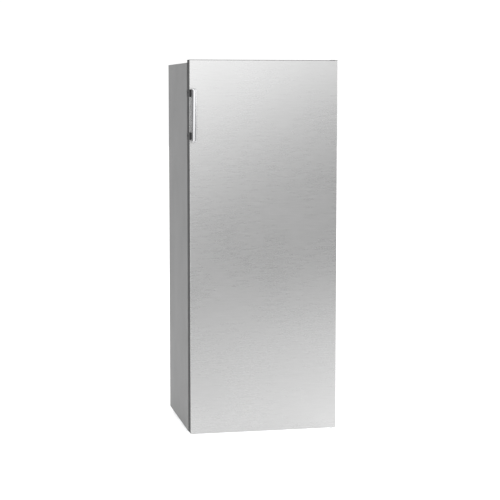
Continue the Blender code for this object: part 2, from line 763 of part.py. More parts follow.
def make_hinges():
    pin_centre = (HINGE_X, HINGE_DEPTH, 0)
    low = CABINET_TOP + GAP
    high = low + HINGE_PLATE
    shape = prism(hinge_outline(0.008, 0.212, 0.068, 0.120), "Z", (low, high))
    bracket = add_piece("top_hinge_bracket", shape, GALVANISED)
    cut(bracket, rod(PIN + PIN_ROOM, pin_centre, "Z", (low - 0.01, high + 0.01)))
    head = high + GAP
    profile = [(PIN, TOP_PIN_LOW), (PIN, head), (0.006, head), (0.006, head + 0.0015)]
    add_piece("top_hinge_pin", turned(profile, pin_centre), GALVANISED, smooth=True)
    top = low + 0.0109
    shape = prism(hinge_outline(0.011, 0.205, 0.064, 0.125), "Z", (low, top))
    cover = add_piece("top_hinge_cover", shape, DARK_TRIM)
    cut(cover, prism(hinge_outline(0.0093, 0.207, 0.066, 0.123), "Z", (low - 0.01, top - 0.0015)))
    low, high = 0.0112, 0.0142
    shape = prism(hinge_outline(0.0095, 0.2435, 0.066, 0.120), "Z", (low, high))
    add_piece("bottom_hinge_bracket", shape, GALVANISED)
    shoulder = DOOR_BOTTOM - GAP
    profile = [(0.007, high + GAP), (0.007, shoulder), (PIN, shoulder), (PIN, BOTTOM_PIN_HIGH)]
    add_piece("bottom_hinge_pin", turned(profile, pin_centre), GALVANISED, smooth=True)


# Feet and rollers


def make_feet():
    hexagon = (0.006, 0.011)
    profile = [
        (0.0125, 0),
        (ROLLER, 0.0012),
        (ROLLER, 0.005),
        (0.009, hexagon[0] + 0.0005),
        (0.006, hexagon[1] - 0.001),
        (STUD, hexagon[1] - 0.001),
        (STUD, 0.045),
    ]
    for name, side in (("foot_left", -1), ("foot_right", 1)):
        centre = (side * FOOT_X, FOOT_DEPTH, 0)
        pivot = (centre[0], y_at(centre[1]), 0)
        foot = add_piece(name, turned(profile, centre, segments=20), DARK_PLASTIC, pivot, smooth=True)
        join(foot, rod(0.0095, centre, "Z", hexagon, segments=6))


def make_rollers():
    half = 0.009
    bore = AXLE + PIN_ROOM
    edge = 0.0015
    profile = [
        (bore, -half),
        (ROLLER - edge, -half),
        (ROLLER, edge - half),
        (ROLLER, half - edge),
        (ROLLER - edge, half),
        (bore, half),
    ]
    for name, side in (("roller_left", -1), ("roller_right", 1)):
        centre = (side * ROLLER_X, ROLLER_DEPTH, ROLLER)
        pivot = (centre[0], y_at(centre[1]), centre[2])
        shape = turned(profile, centre, "X", bored=True)
        add_piece(name, shape, DARK_PLASTIC, pivot, smooth=True)
    shape = rod(AXLE, (0, ROLLER_DEPTH, ROLLER), "X", (-0.250, 0.250))
    add_piece("roller_axle", shape, GALVANISED, smooth=True)


# Cooling system


def make_base_plate():
    half = INSIDE_HALF - GAP
    depths = (0.340, 0.512)
    low, high = BASE_PLATE
    plate = add_piece("compressor_base_plate", box((-half, half), depths, BASE_PLATE), GALVANISED)
    tab_half, tab_top = 0.015, 0.060
    across = (GLAND_X - tab_half, GLAND_X + tab_half)
    tabs = box(across, (depths[1] - 0.002, depths[1]), (low + SHEET, tab_top))
    for side in (-1, 1):
        for inner in (ROLLER_X - 0.0135, ROLLER_X + 0.0115):
            across = span(side, inner, inner + 0.002)
            box(across, (ROLLER_DEPTH - 0.010, ROLLER_DEPTH + 0.010), (0.008, low + SHEET), tabs)
    join(plate, tabs)
    holes = rod(AXLE + PIN_ROOM, (0, ROLLER_DEPTH, ROLLER), "X", (-0.260, 0.260))
    gland_centre = (GLAND_X, depths[1], GLAND_Z)
    rod(0.008, gland_centre, "Y", (-0.01, 0.01), shape=holes)
    cut(plate, holes)
    body, flange, bore = 0.0077, 0.011, 0.004
    profile = [(bore, -0.012), (body, -0.012), (body, GAP), (flange, GAP), (flange, 0.003), (bore, 0.003)]
    shape = turned(profile, gland_centre, "Y", bored=True)
    add_piece("cable_gland", shape, DARK_PLASTIC, smooth=True)


def make_compressor():
    centre = (DRAIN_X, COMPRESSOR_DEPTH, 0)
    profile = [
        (0.058, 0.0405),
        (0.071, 0.048),
        (0.075, 0.060),
        (0.075, 0.106),
        (0.0765, 0.108),
        (0.0765, 0.114),
        (0.075, 0.116),
        (0.075, 0.150),
        (0.070, 0.172),
        (0.058, 0.186),
        (0.035, 0.1933),
        (0.008, 0.1945),
    ]
    can = add_piece("compressor", turned(profile, centre, flatten=0.87), DARK_PAINT, smooth=True)
    half_x, half_depth, leg_inset = 0.092, 0.070, 0.012
    x = (DRAIN_X - half_x, DRAIN_X + half_x)
    depths = (COMPRESSOR_DEPTH - half_depth, COMPRESSOR_DEPTH + half_depth)
    join(can, box(x, depths, (0.0385, 0.0415)))
    legs = bmesh.new()
    for leg_x in (x[0] + leg_inset, x[1] - leg_inset):
        for depth in (depths[0] + leg_inset, depths[1] - leg_inset):
            rod(0.006, (leg_x, depth, 0), "Z", (BASE_PLATE[1] + GAP, 0.046), segments=12, shape=legs)
    join(can, legs)
    shape = box((-0.052, -0.0172), (0.402, 0.452), (0.085, 0.150))
    bevel(add_piece("compressor_relay_cover", shape, DARK_PLASTIC), 0.003)


def make_evaporation_tray():
    x, depths, heights = (-0.030, 0.150), (0.358, 0.500), (0.195, 0.226)
    wall = 0.0015
    tray = add_piece("evaporation_tray", box(x, depths, heights), DARK_PLASTIC)
    inside = [(ends[0] + wall, ends[1] - wall) for ends in (x, depths)]
    cut(tray, box(*inside, (heights[0] + wall, heights[1] + wall)))
    bore = HOSE - 0.002
    low, high = 0.205, STEP_TOP - LINER - 0.001
    profile = [(bore, low), (HOSE, low), (HOSE, high), (bore, high)]
    shape = turned(profile, (DRAIN_X, DRAIN_DEPTH, 0), segments=20, bored=True)
    add_piece("drain_hose", shape, DARK_PLASTIC, smooth=True)


def run_height(run):
    """The height of one level run of the condenser tube, counted from the top."""
    low, high = CONDENSER_RANGE
    return high - (high - low) * run / (RUNS - 1)


def make_condenser_tube():
    bend = 0.018
    corners = [(RISER_X, TUBE_LOW), (RISER_X, run_height(0))]
    for run in range(RUNS - 1):
        x = CONDENSER_HALF if run % 2 == 0 else -CONDENSER_HALF
        corners += [(x, run_height(run)), (x, run_height(run + 1))]
    corners.append((OUTLET_X, run_height(RUNS - 1)))
    route = [(x, TUBE_DEPTH, z) for x, z in corners]
    crossing = 0.218
    route += [(OUTLET_X, TUBE_DEPTH, crossing), (OUTLET_X, DRIER_DEPTH, crossing)]
    route.append((OUTLET_X, DRIER_DEPTH, DRIER_TOP + GAP))
    line = rounded(route[:-3], bend, closed=False)[:-1]
    line += rounded(route[-4:], 0.012, closed=False)
    add_tube("condenser_tube", line, TUBE, DARK_PAINT)


def make_condenser_wires():
    bars, bar, rail = 22, 0.0016, 0.006
    depths = (TUBE_DEPTH + TUBE + GAP, TUBE_DEPTH + TUBE + GAP + 0.002)
    low, high = CONDENSER_RANGE[0] - 0.02, CONDENSER_RANGE[1] + 0.01
    pitch = 2 * (CONDENSER_HALF - bar) / (bars - 1)
    rails = [low + (high - low - rail) * step / 3 for step in range(4)]
    columns, rows = [], []
    for index in range(bars):
        start = -CONDENSER_HALF + bar / 2 + pitch * index
        columns += [start, start + bar]
    for start in rails:
        rows += [start, start + rail]
    grid = bmesh.new()
    points = [[grid.verts.new((x, y_at(depths[0]), z)) for z in rows] for x in columns]
    for i in range(len(columns) - 1):
        for j in range(len(rows) - 1):
            on_bar, on_rail = i % 2 == 0, j % 2 == 0
            if on_bar or on_rail:
                corners = (points[i][j], points[i + 1][j], points[i + 1][j + 1], points[i][j + 1])
                grid.faces.new(corners)
    back = bmesh.ops.extrude_face_region(grid, geom=grid.faces[:], use_keep_orig=True)["geom"]
    moved = [item for item in back if isinstance(item, bmesh.types.BMVert)]
    bmesh.ops.translate(grid, verts=moved, vec=(0, depths[1] - depths[0], 0))
    bmesh.ops.recalc_face_normals(grid, faces=grid.faces[:])
    wires = add_piece("condenser_wires", grid, DARK_PAINT)
    feet = bmesh.new()
    panel_back = SIDE_BACK + GAP + SKIN + GAP
    foot_x = CONDENSER_HALF - bar / 2 - 3 * pitch
    for run in (1.5, RUNS - 3.5):
        z = run_height(run)
        for side in (-1, 1):
            x = side * foot_x
            box((x - 0.006, x + 0.006), (panel_back, depths[1] - bar / 4), (z - 0.006, z + 0.006), feet)
    join(wires, feet)


def make_pipes():
    start_depth = COMPRESSOR_DEPTH + 0.0577
    route = [
        (0.100, start_depth, 0.140),
        (0.100, 0.508, 0.140),
        (RISER_X + 0.030, 0.508, 0.140),
        (RISER_X, TUBE_DEPTH, 0.180),
        (RISER_X, TUBE_DEPTH, TUBE_LOW - GAP),
    ]
    add_tube("discharge_pipe", rounded(route, 0.007, closed=False), TUBE, COPPER)
    route = [
        (-0.002, SUCTION_DEPTH, 0.130),
        (SUCTION_X, SUCTION_DEPTH, 0.130),
        (SUCTION_X, SUCTION_DEPTH, 0.262),
    ]
    add_tube("suction_pipe", rounded(route, 0.020, steps=6, closed=False), SUCTION_PIPE, COPPER)
    length = 0.085
    profile = [
        (0.003, DRIER_TOP),
        (0.003, DRIER_TOP - 0.006),
        (0.009, DRIER_TOP - 0.014),
        (0.009, DRIER_TOP - length + 0.014),
        (0.002, DRIER_TOP - length + 0.006),
        (0.002, DRIER_TOP - length),
    ]
    shape = turned(profile, (OUTLET_X, DRIER_DEPTH, 0), segments=20)
    add_piece("filter_drier", shape, COPPER, smooth=True)


CABINET_PAINT = make_material("cabinet_paint", (0.30, 0.30, 0.305), 0.50, 0.2)
STAINLESS = make_material("brushed_stainless", (0.62, 0.62, 0.61), 0.32, 0.9)
DARK_TRIM = make_material("dark_grey_plastic", (0.10, 0.10, 0.105), 0.55)
BRIGHT_METAL = make_material("satin_chrome", (0.80, 0.80, 0.80), 0.20, 1.0)
GALVANISED = make_material("galvanised_steel", (0.50, 0.52, 0.54), 0.45, 0.8)
LINER_PLASTIC = make_material("white_liner", (0.85, 0.86, 0.86), 0.35)
WHITE_PLASTIC = make_material("white_plastic", (0.82, 0.83, 0.83), 0.40)
CLEAR_PLASTIC = make_material("clear_plastic", (0.75, 0.80, 0.84), 0.15)
GLASS_PANE = make_material("shelf_glass", (0.70, 0.82, 0.80), 0.05)
GASKET_RUBBER = make_material("gasket_rubber", (0.45, 0.45, 0.46), 0.75)
FOAM = make_material("insulating_foam", (0.85, 0.76, 0.52), 0.90)
ALUMINIUM = make_material("aluminium", (0.72, 0.73, 0.75), 0.40, 0.9)
COPPER = make_material("copper", (0.72, 0.38, 0.24), 0.35, 0.9)
DARK_PAINT = make_material("black_paint", (0.03, 0.03, 0.032), 0.50, 0.3)
DARK_PLASTIC = make_material("black_plastic", (0.04, 0.04, 0.042), 0.60)

make_side_panels()
make_top_panel()
make_bottom_panel()
make_back_panel()
make_inner_liner()
make_cabinet_foam()
make_evaporator_plate()
make_shelves()
make_crisper_drawer()
make_controls()

door_axis = add_empty("door_axis", (HINGE_X, y_at(HINGE_DEPTH), 0))
cap_to_cap = make_door_shell(door_axis)
make_door_caps(door_axis)
make_door_foam(door_axis, cap_to_cap)
make_door_liner(door_axis, cap_to_cap)
make_gasket(door_axis)
make_racks(door_axis)
make_egg_tray(door_axis)
make_dairy_cover(door_axis)
make_handle(door_axis)

make_hinges()
make_feet()
make_rollers()
make_base_plate()
make_compressor()
make_evaporation_tray()
make_condenser_tube()
make_condenser_wires()
make_pipes()
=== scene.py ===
"""The looks of the upright refrigerator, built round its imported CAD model.

Metres, +Z up, X across the front and Y from the door's front to the back, as in the CAD.
"""

import json
from math import cos, pi, radians, sin

import bmesh
import bpy
from mathutils import Matrix, Vector


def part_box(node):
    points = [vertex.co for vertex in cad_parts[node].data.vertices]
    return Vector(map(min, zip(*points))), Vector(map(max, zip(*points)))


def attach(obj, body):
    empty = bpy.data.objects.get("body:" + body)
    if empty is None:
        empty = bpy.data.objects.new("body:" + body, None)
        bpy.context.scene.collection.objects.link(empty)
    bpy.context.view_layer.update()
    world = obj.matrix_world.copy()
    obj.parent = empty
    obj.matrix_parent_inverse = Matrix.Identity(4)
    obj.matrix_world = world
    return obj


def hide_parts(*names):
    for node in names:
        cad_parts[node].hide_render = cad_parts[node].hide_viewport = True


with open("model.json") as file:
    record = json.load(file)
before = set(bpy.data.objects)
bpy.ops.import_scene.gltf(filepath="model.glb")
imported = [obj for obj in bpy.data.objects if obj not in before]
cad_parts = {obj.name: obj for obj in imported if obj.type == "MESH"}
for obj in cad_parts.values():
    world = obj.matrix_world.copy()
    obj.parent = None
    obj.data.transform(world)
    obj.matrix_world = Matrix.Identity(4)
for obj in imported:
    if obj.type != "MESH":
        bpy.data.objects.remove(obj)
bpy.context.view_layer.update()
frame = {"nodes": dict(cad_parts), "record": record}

door_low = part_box("door_front_skin")[0]
CABINET = "cabinet"
DOOR = "door"
FLANGE = 0.028  # height of the compressor base plate's edges above its floor


# Camera, light and floor


def make_camera():
    """The main view: from the left, about as high as the handle, looking slightly down."""
    turn, pitch = 0.2042, 0.0933
    camera_data = bpy.data.cameras.new("camera")
    camera_data.lens = 104.186
    camera_data.sensor_width = 36.0
    camera_data.shift_y = -0.04
    camera = bpy.data.objects.new("camera", camera_data)
    camera.location = (-1.1422, door_low.y - 5.2554, 1.2826)
    camera.rotation_euler = (pi / 2 - pitch, 0, -turn)
    bpy.context.scene.collection.objects.link(camera)
    bpy.context.scene.camera = camera


def add_light(name, location, target, size, energy):
    """A square lamp that faces its target."""
    light_data = bpy.data.lights.new(name, "AREA")
    light_data.shape = "SQUARE"
    light_data.size = size
    light_data.energy = energy
    light = bpy.data.objects.new(name, light_data)
    light.location = location
    light.rotation_euler = (Vector(target) - Vector(location)).to_track_quat("-Z", "Y").to_euler()
    bpy.context.scene.collection.objects.link(light)


def stage_plane(name, corners, material):
    """A flat part of the studio, which isn't part of the object."""
    mesh = bpy.data.meshes.new(name)
    mesh.from_pydata(corners, [], [(0, 1, 2, 3)])
    mesh.materials.append(material)
    plane = bpy.data.objects.new(name, mesh)
    bpy.context.scene.collection.objects.link(plane)
    return plane


def make_floor():
    """A studio floor, lit by the lamps, whose emission is painted light: it glows more near the
    refrigerator, to its right and under the door, which washes out the shadow beneath the door and
    brightens the door's lower reflection.
    """
    reach = 30.0
    graph = Graph("floor_paint", (0.76, 0.76, 0.76), 0.75, specular_ior_level=0.0)
    fine = graph.pattern(40, detail=5.0)
    graph.vary_colour(fine, 0.01)
    graph.vary_roughness(fine, 0.05)
    separate = graph.nodes.new("ShaderNodeSeparateXYZ")
    graph.links.new(graph.coordinates.outputs["Object"], separate.inputs[0])
    # painted light: an extra band of glow under the door that whitens the shadow there
    under_door_painted_glow = 0.75
    changes = (  # the axis, where the glow starts and stops changing along it, and by how much
        ("X", -0.6, 1.0, 0.39),
        ("Y", -1.5, -0.45, 0.36),
        ("Y", door_low.y - 0.045, door_low.y - 0.005, under_door_painted_glow),
        ("Y", door_low.y + 0.080, door_low.y + 0.120, -under_door_painted_glow),
    )
    total = None
    for axis, start, end, level in changes:
        change = graph.nodes.new("ShaderNodeMapRange")
        change.inputs["From Min"].default_value = start
        change.inputs["From Max"].default_value = end
        change.inputs["To Max"].default_value = level
        graph.links.new(separate.outputs[axis], change.inputs["Value"])
        added = graph.nodes.new("ShaderNodeMath")
        added.inputs[0].default_value = 0.0
        if total:
            graph.links.new(total, added.inputs[0])
        graph.links.new(change.outputs[0], added.inputs[1])
        total = added.outputs[0]
    # painted light: the floor's white glow, stronger near the refrigerator, to its right and under the door
    graph.shader.inputs["Emission Color"].default_value = (1.0, 1.0, 1.0, 1.0)
    graph.links.new(total, graph.shader.inputs["Emission Strength"])
    corners = [(-reach, -reach, 0), (reach, -reach, 0), (reach, reach, 0), (-reach, reach, 0)]
    stage_plane("floor", corners, graph.material)


def hide_but_in_reflections(card):
    """Keeps a studio card out of everything but glossy reflections."""
    card.visible_camera = False
    card.visible_diffuse = False
    card.visible_shadow = False
    card.visible_transmission = False


def make_emission(name, level):
    """A grey glow, and its node."""
    material = bpy.data.materials.new(name)
    material.use_nodes = True
    nodes = material.node_tree.nodes
    nodes.clear()
    emission = nodes.new("ShaderNodeEmission")
    emission.inputs["Color"].default_value = (level, level, level, 1.0)
    output = nodes.new("ShaderNodeOutputMaterial")
    material.node_tree.links.new(emission.outputs[0], output.inputs["Surface"])
    return material, emission


def make_painted_reflections():
    """Painted reflections: a glowing card before the door and a dim grey card on the left, both seen only
    in glossy reflections.

    The card has bands that rise to the right, brightest at the door's top and darker above and below, which
    paint the door's bright and dark bands; the dim card paints a dark reflection that shades the handle
    bar's left side.
    """
    # painted reflection: glowing bands seen only in the door's reflection, painting its bright and dark
    # bands
    material, emission = make_emission("painted_reflection_glow", 1.0)
    nodes, links = material.node_tree.nodes, material.node_tree.links
    ramp = nodes.new("ShaderNodeValToRGB")
    slope = 0.48
    stops = (  # height of a band above the middle of the floor, and its brightness
        (-0.8, 0.82), (-0.3, 0.52), (0.1, 0.40), (0.5, 0.65), (1.0, 1.27), (1.5, 2.35), (1.9, 1.70),
        (2.3, 0.90), (3.0, 0.50),
    )
    bottom, span = stops[0][0], stops[-1][0] - stops[0][0]
    place_stops(ramp.color_ramp, [((at - bottom) / span, (level,) * 3) for at, level in stops])
    coordinates = nodes.new("ShaderNodeTexCoord")
    separate = nodes.new("ShaderNodeSeparateXYZ")
    slant = nodes.new("ShaderNodeMath")
    slant.operation = "MULTIPLY_ADD"
    slant.inputs[1].default_value = -slope
    height = nodes.new("ShaderNodeMapRange")
    height.inputs["From Min"].default_value = bottom
    height.inputs["From Max"].default_value = bottom + span
    links.new(coordinates.outputs["Object"], separate.inputs[0])
    links.new(separate.outputs["X"], slant.inputs[0])
    links.new(separate.outputs["Z"], slant.inputs[2])
    links.new(slant.outputs[0], height.inputs["Value"])
    links.new(height.outputs[0], ramp.inputs[0])
    links.new(ramp.outputs[0], emission.inputs["Color"])
    half, low, high = 3.0, 0.001, 2.8
    y = door_low.y - 2.95
    corners = [(half, y, low), (-half, y, low), (-half, y, high), (half, y, high)]
    hide_but_in_reflections(stage_plane("painted_reflection_card", corners, material))
    # painted dark reflection: a dim grey card on the left, seen only in reflections, that shades the handle
    # bar's left side
    x, end = -3.1, 1.2
    corners = [(x, y, low), (x, end, low), (x, end, high), (x, y, high)]
    hide_but_in_reflections(stage_plane("painted_dark_reflection", corners, make_emission("painted_dark_reflection", 0.30)[0]))


def make_studio():
    """A white world and three soft lamps."""
    scene = bpy.context.scene
    scene.view_settings.view_transform = "Standard"
    world = bpy.data.worlds.new("studio")
    world.use_nodes = True
    background = world.node_tree.nodes["Background"]
    background.inputs["Color"].default_value = (1.0, 1.0, 1.0, 1.0)
    background.inputs["Strength"].default_value = 1.05
    scene.world = world
    centre = (0, 0, 0.7)
    add_light("key_light", (-2.6, -3.4, 3.0), centre, 1.6, 45)
    add_light("fill_light", (3.2, -2.2, 2.2), centre, 2.0, 20)
    add_light("back_light", (0.5, 3.2, 2.8), centre, 2.0, 40)


# Materials


def place_stops(ramp, stops):
    """Fills a colour ramp with (position, colour) stops."""
    while len(ramp.elements) < len(stops):
        ramp.elements.new(1.0)
    for element, (position, colour) in zip(ramp.elements, stops):
        element.position = position
        element.color = (*colour, 1.0)


class Graph:
    """A material's Principled shader, with the textures that vary it."""

    def __init__(self, name, colour, roughness, metallic=0.0, **sockets):
        self.material = bpy.data.materials.new(name)
        self.material.use_nodes = True
        self.nodes = self.material.node_tree.nodes
        self.links = self.material.node_tree.links
        self.shader = self.nodes["Principled BSDF"]
        self.colour = colour
        self.roughness = roughness
        self.shader.inputs["Base Color"].default_value = (*colour, 1.0)
        self.shader.inputs["Roughness"].default_value = roughness
        self.shader.inputs["Metallic"].default_value = metallic
        for socket, value in sockets.items():
            label = socket.replace("_", " ").title().replace("Ior", "IOR")
            self.shader.inputs[label].default_value = value
        self.coordinates = self.nodes.new("ShaderNodeTexCoord")

    def pattern(self, scale, stretch=(1, 1, 1), detail=4.0, kind="ShaderNodeTexNoise", output=0):
        """A texture in object space, stretched along its axes."""
        mapping = self.nodes.new("ShaderNodeMapping")
        mapping.inputs["Scale"].default_value = stretch
        texture = self.nodes.new(kind)
        texture.inputs["Scale"].default_value = scale
        if "Detail" in texture.inputs:
            texture.inputs["Detail"].default_value = detail
        self.links.new(self.coordinates.outputs["Object"], mapping.inputs[0])
        self.links.new(mapping.outputs[0], texture.inputs["Vector"])
        return texture.outputs[output]

    def blend(self, first, second, share):
        """A mix of two values, with share of the second."""
        mix = self.nodes.new("ShaderNodeMix")
        mix.inputs[0].default_value = share
        self.links.new(first, mix.inputs[2])
        self.links.new(second, mix.inputs[3])
        return mix.outputs[0]

    def vary_colour(self, value, change, low=0.3, high=0.7):
        """The colour goes from darker to lighter by change as value goes from low to high."""
        ramp = self.nodes.new("ShaderNodeValToRGB")
        dark = tuple(channel * (1 - change) for channel in self.colour)
        light = tuple(min(1.0, channel * (1 + change)) for channel in self.colour)
        place_stops(ramp.color_ramp, [(low, dark), (high, light)])
        self.links.new(value, ramp.inputs[0])
        self.links.new(ramp.outputs[0], self.shader.inputs["Base Color"])

    def vary_roughness(self, value, change, low=0.3, high=0.7):
        """The roughness goes up by change, from below its mean to above it, in the same way."""
        spread = self.nodes.new("ShaderNodeMapRange")
        spread.inputs["From Min"].default_value = low
        spread.inputs["From Max"].default_value = high
        spread.inputs["To Min"].default_value = max(0.02, self.roughness - change)
        spread.inputs["To Max"].default_value = self.roughness + change
        self.links.new(value, spread.inputs["Value"])
        self.links.new(spread.outputs[0], self.shader.inputs["Roughness"])

    def raise_bumps(self, value, distance, strength=0.5):
        bump = self.nodes.new("ShaderNodeBump")
        bump.inputs["Strength"].default_value = strength
        bump.inputs["Distance"].default_value = distance
        self.links.new(value, bump.inputs["Height"])
        self.links.new(bump.outputs[0], self.shader.inputs["Normal"])


def make_surface(name, colour, roughness, metallic=0.0, grain=600, colour_change=0.03,
                 roughness_change=0.06, bump=0.00005, **sockets):
    """A surface with a fine grain, and broad patches of handling that change its gloss."""
    graph = Graph(name, colour, roughness, metallic, **sockets)
    fine = graph.pattern(grain, detail=5.0)
    patches = graph.pattern(7.0, detail=3.0)
    both = graph.blend(fine, patches, 0.45)
    graph.vary_colour(both, colour_change)
    graph.vary_roughness(both, roughness_change)
    graph.raise_bumps(fine, bump)
    return graph.material


def make_brushed(name, colour, roughness, across):
    """Brushed metal: long fine scratches, broader streaks among them, and faint smudges.

    Across names the axes at right angles to the scratches.
    """
    graph = Graph(name, colour, roughness, 1.0)
    hair = graph.pattern(1.0, tuple(620.0 if axis in across else 9.0 for axis in "XYZ"), 6.0)
    streaks = graph.pattern(1.0, tuple(150.0 if axis in across else 20.0 for axis in "XYZ"), 4.0)
    smudges = graph.pattern(4.0, detail=2.0)
    lines = graph.blend(hair, streaks, 0.55)
    graph.vary_colour(lines, 0.030, 0.35, 0.65)
    graph.vary_roughness(graph.blend(lines, smudges, 0.4), 0.035)
    graph.raise_bumps(lines, 0.00002, 0.20)
    return graph.material


def make_zinc():
    """Galvanised sheet, with the spangle of its crystals."""
    graph = Graph("galvanised_zinc", (0.41, 0.43, 0.45), 0.42, 0.85)
    crystals = graph.pattern(90.0, kind="ShaderNodeTexVoronoi", output="Color")
    value = graph.nodes.new("ShaderNodeSeparateColor")
    graph.links.new(crystals, value.inputs[0])
    clouds = graph.pattern(12.0, detail=4.0)
    both = graph.blend(value.outputs[0], clouds, 0.4)
    graph.vary_colour(both, 0.10, 0.1, 0.9)
    graph.vary_roughness(both, 0.10, 0.1, 0.9)
    graph.raise_bumps(clouds, 0.00005)
    return graph.material


def make_foam():
    """Rigid foam with open cells where it was cut."""
    graph = Graph("rigid_foam", (0.85, 0.76, 0.52), 0.9)
    cells = graph.pattern(900.0, kind="ShaderNodeTexVoronoi")
    graph.vary_colour(cells, 0.10, 0.1, 0.8)
    graph.vary_roughness(cells, 0.05)
    graph.raise_bumps(cells, 0.0004, 0.8)
    return graph.material


def make_glass(name, colour, roughness, ior):
    """Clear glass or plastic, with faint wipe marks that only change its gloss."""
    graph = Graph(name, colour, roughness, ior=ior, transmission_weight=1.0)
    wipes = graph.pattern(9.0, (1, 3, 1), detail=3.0)
    graph.vary_roughness(wipes, roughness * 0.6)
    graph.raise_bumps(graph.pattern(300.0, detail=2.0), 0.00001, 0.2)
    return graph.material


def make_materials():
    return {
        "cabinet_paint": make_surface("powder_coat_grey", (0.130, 0.130, 0.131), 0.50, grain=750,
                                      bump=0.00008),
        "brushed_stainless": make_brushed("brushed_stainless", (0.53, 0.53, 0.53), 0.28, "Z"),
        "dark_grey_plastic": make_surface("dark_grey_plastic", (0.024, 0.024, 0.025), 0.55,
                                          bump=0.0001, specular_ior_level=0.12),
        "satin_chrome": make_brushed("satin_chrome", (0.56, 0.56, 0.57), 0.16, "XY"),
        "galvanised_steel": make_zinc(),
        "white_liner": make_surface("white_liner", (0.76, 0.77, 0.77), 0.30, grain=900,
                                    colour_change=0.010),
        "white_plastic": make_surface("white_plastic", (0.74, 0.75, 0.75), 0.36, grain=900,
                                      colour_change=0.010),
        "clear_plastic": make_glass("clear_plastic", (0.88, 0.93, 0.96), 0.10, 1.49),
        "shelf_glass": make_glass("shelf_glass", (0.86, 0.95, 0.92), 0.03, 1.52),
        "gasket_rubber": make_surface("gasket_rubber", (0.40, 0.40, 0.41), 0.70, grain=1200,
                                      bump=0.0001),
        "insulating_foam": make_foam(),
        "aluminium": make_brushed("aluminium", (0.72, 0.73, 0.75), 0.38, "Z"),
        "copper": make_surface("copper", (0.72, 0.36, 0.22), 0.30, 0.95, grain=90, colour_change=0.16,
                               roughness_change=0.12),
        "black_paint": make_surface("black_paint", (0.022, 0.022, 0.024), 0.34, grain=500,
                                    colour_change=0.15),
        "black_plastic": make_surface("black_plastic", (0.035, 0.035, 0.037), 0.58, bump=0.00012),
        "zinc_screw": make_surface("zinc_screw", (0.62, 0.62, 0.60), 0.28, 0.95, grain=1500),
    }


# Shapes


def add_box(shape, low, high):
    """Adds a box to shape, between two corners."""
    corners = [
        shape.verts.new((x, y, z))
        for x in (low[0], high[0])
        for y in (low[1], high[1])
        for z in (low[2], high[2])
    ]
    for quad in ((0, 1, 3, 2), (4, 6, 7, 5), (0, 4, 5, 1), (2, 3, 7, 6), (0, 2, 6, 4), (1, 5, 7, 3)):
        shape.faces.new([corners[index] for index in quad])
    return shape


def add_turned_box(shape, low, high, turn):
    """Adds a box to shape, moved by the matrix turn."""
    before = set(shape.verts)
    add_box(shape, low, high)
    added = [vertex for vertex in shape.verts if vertex not in before]
    bmesh.ops.transform(shape, matrix=turn, verts=added)


def boxed(low, high):
    """A box as a shape of its own."""
    return add_box(bmesh.new(), low, high)


def loft(rings, closed=False, shape=None):
    """Joins equal rings of points, with flat ends unless the last ring meets the first."""
    shape = shape or bmesh.new()
    rings = [[shape.verts.new(point) for point in ring] for ring in rings]
    faces = []
    for index in range(0 if closed else 1, len(rings)):
        before, after = rings[index - 1], rings[index]
        for step in range(len(after)):
            faces.append(shape.faces.new((before[step - 1], before[step], after[step], after[step - 1])))
    if not closed:
        faces += [shape.faces.new(rings[0]), shape.faces.new(rings[-1])]
    bmesh.ops.recalc_face_normals(shape, faces=faces)
    return shape


TURNS = {
    "X": lambda u, v, w: Vector((w, u, v)),
    "Y": lambda u, v, w: Vector((u, w, v)),
    "Z": lambda u, v, w: Vector((u, v, w)),
}


def turned(profile, centre, axis="Z", segments=64, flatten=1.0, bored=False, flutes=0, flute=0.0,
           shape=None):
    """A profile of (radius, distance along the axis) turned about an axis through centre.

    Flatten scales the circle's second direction. Flutes are grooves of depth flute round the rim.
    """
    rings = []
    for radius, along in profile:
        ring = []
        for step in range(segments):
            angle = 2 * pi * step / segments
            reach = radius - flute * max(0.0, cos(flutes * angle)) if flutes else radius
            across = (reach * cos(angle), flatten * reach * sin(angle))
            ring.append(Vector(centre) + TURNS[axis](*across, along))
        rings.append(ring)
    return loft(rings, bored, shape)


def pushed(outline, axis, ends):
    """An outline pushed along an axis: (y, z) along X, (x, z) along Y or (x, y) along Z."""
    place = {
        "X": lambda point, end: (end, point[0], point[1]),
        "Y": lambda point, end: (point[0], end, point[1]),
        "Z": lambda point, end: (point[0], point[1], end),
    }[axis]
    return loft([[place(point, end) for point in outline] for end in ends])


def round_rings(profile, low, high, axis):
    """A closed profile of (outward, along) points swept round a rectangle, with mitred corners.

    Low and high are the rectangle's corners in the two directions across the axis.
    """
    rings = []
    for outward, along in profile:
        corners = [
            (low[0] - outward, low[1] - outward),
            (high[0] + outward, low[1] - outward),
            (high[0] + outward, high[1] + outward),
            (low[0] - outward, high[1] + outward),
        ]
        rings.append([(x, along, z) if axis == "Y" else (x, z, along) for x, z in corners])
    return loft(rings, closed=True)


def arc(centre, radius, start, end, steps=8):
    """Points on an arc in two dimensions, with angles in degrees."""
    angles = [radians(start + (end - start) * step / steps) for step in range(steps + 1)]
    return [(centre[0] + radius * cos(angle), centre[1] + radius * sin(angle)) for angle in angles]


def bent(points, radius):
    """A line of points in space with each corner rounded by a curve."""
    steps = 8
    points = [Vector(point) for point in points]
    line = [points[0]]
    for before, corner, after in zip(points, points[1:], points[2:]):
        start = corner + (before - corner).normalized() * radius
        end = corner + (after - corner).normalized() * radius
        for step in range(steps + 1):
            share = step / steps
            line.append((1 - share) ** 2 * start + 2 * share * (1 - share) * corner + share ** 2 * end)
    return line + [points[-1]]


# Pieces


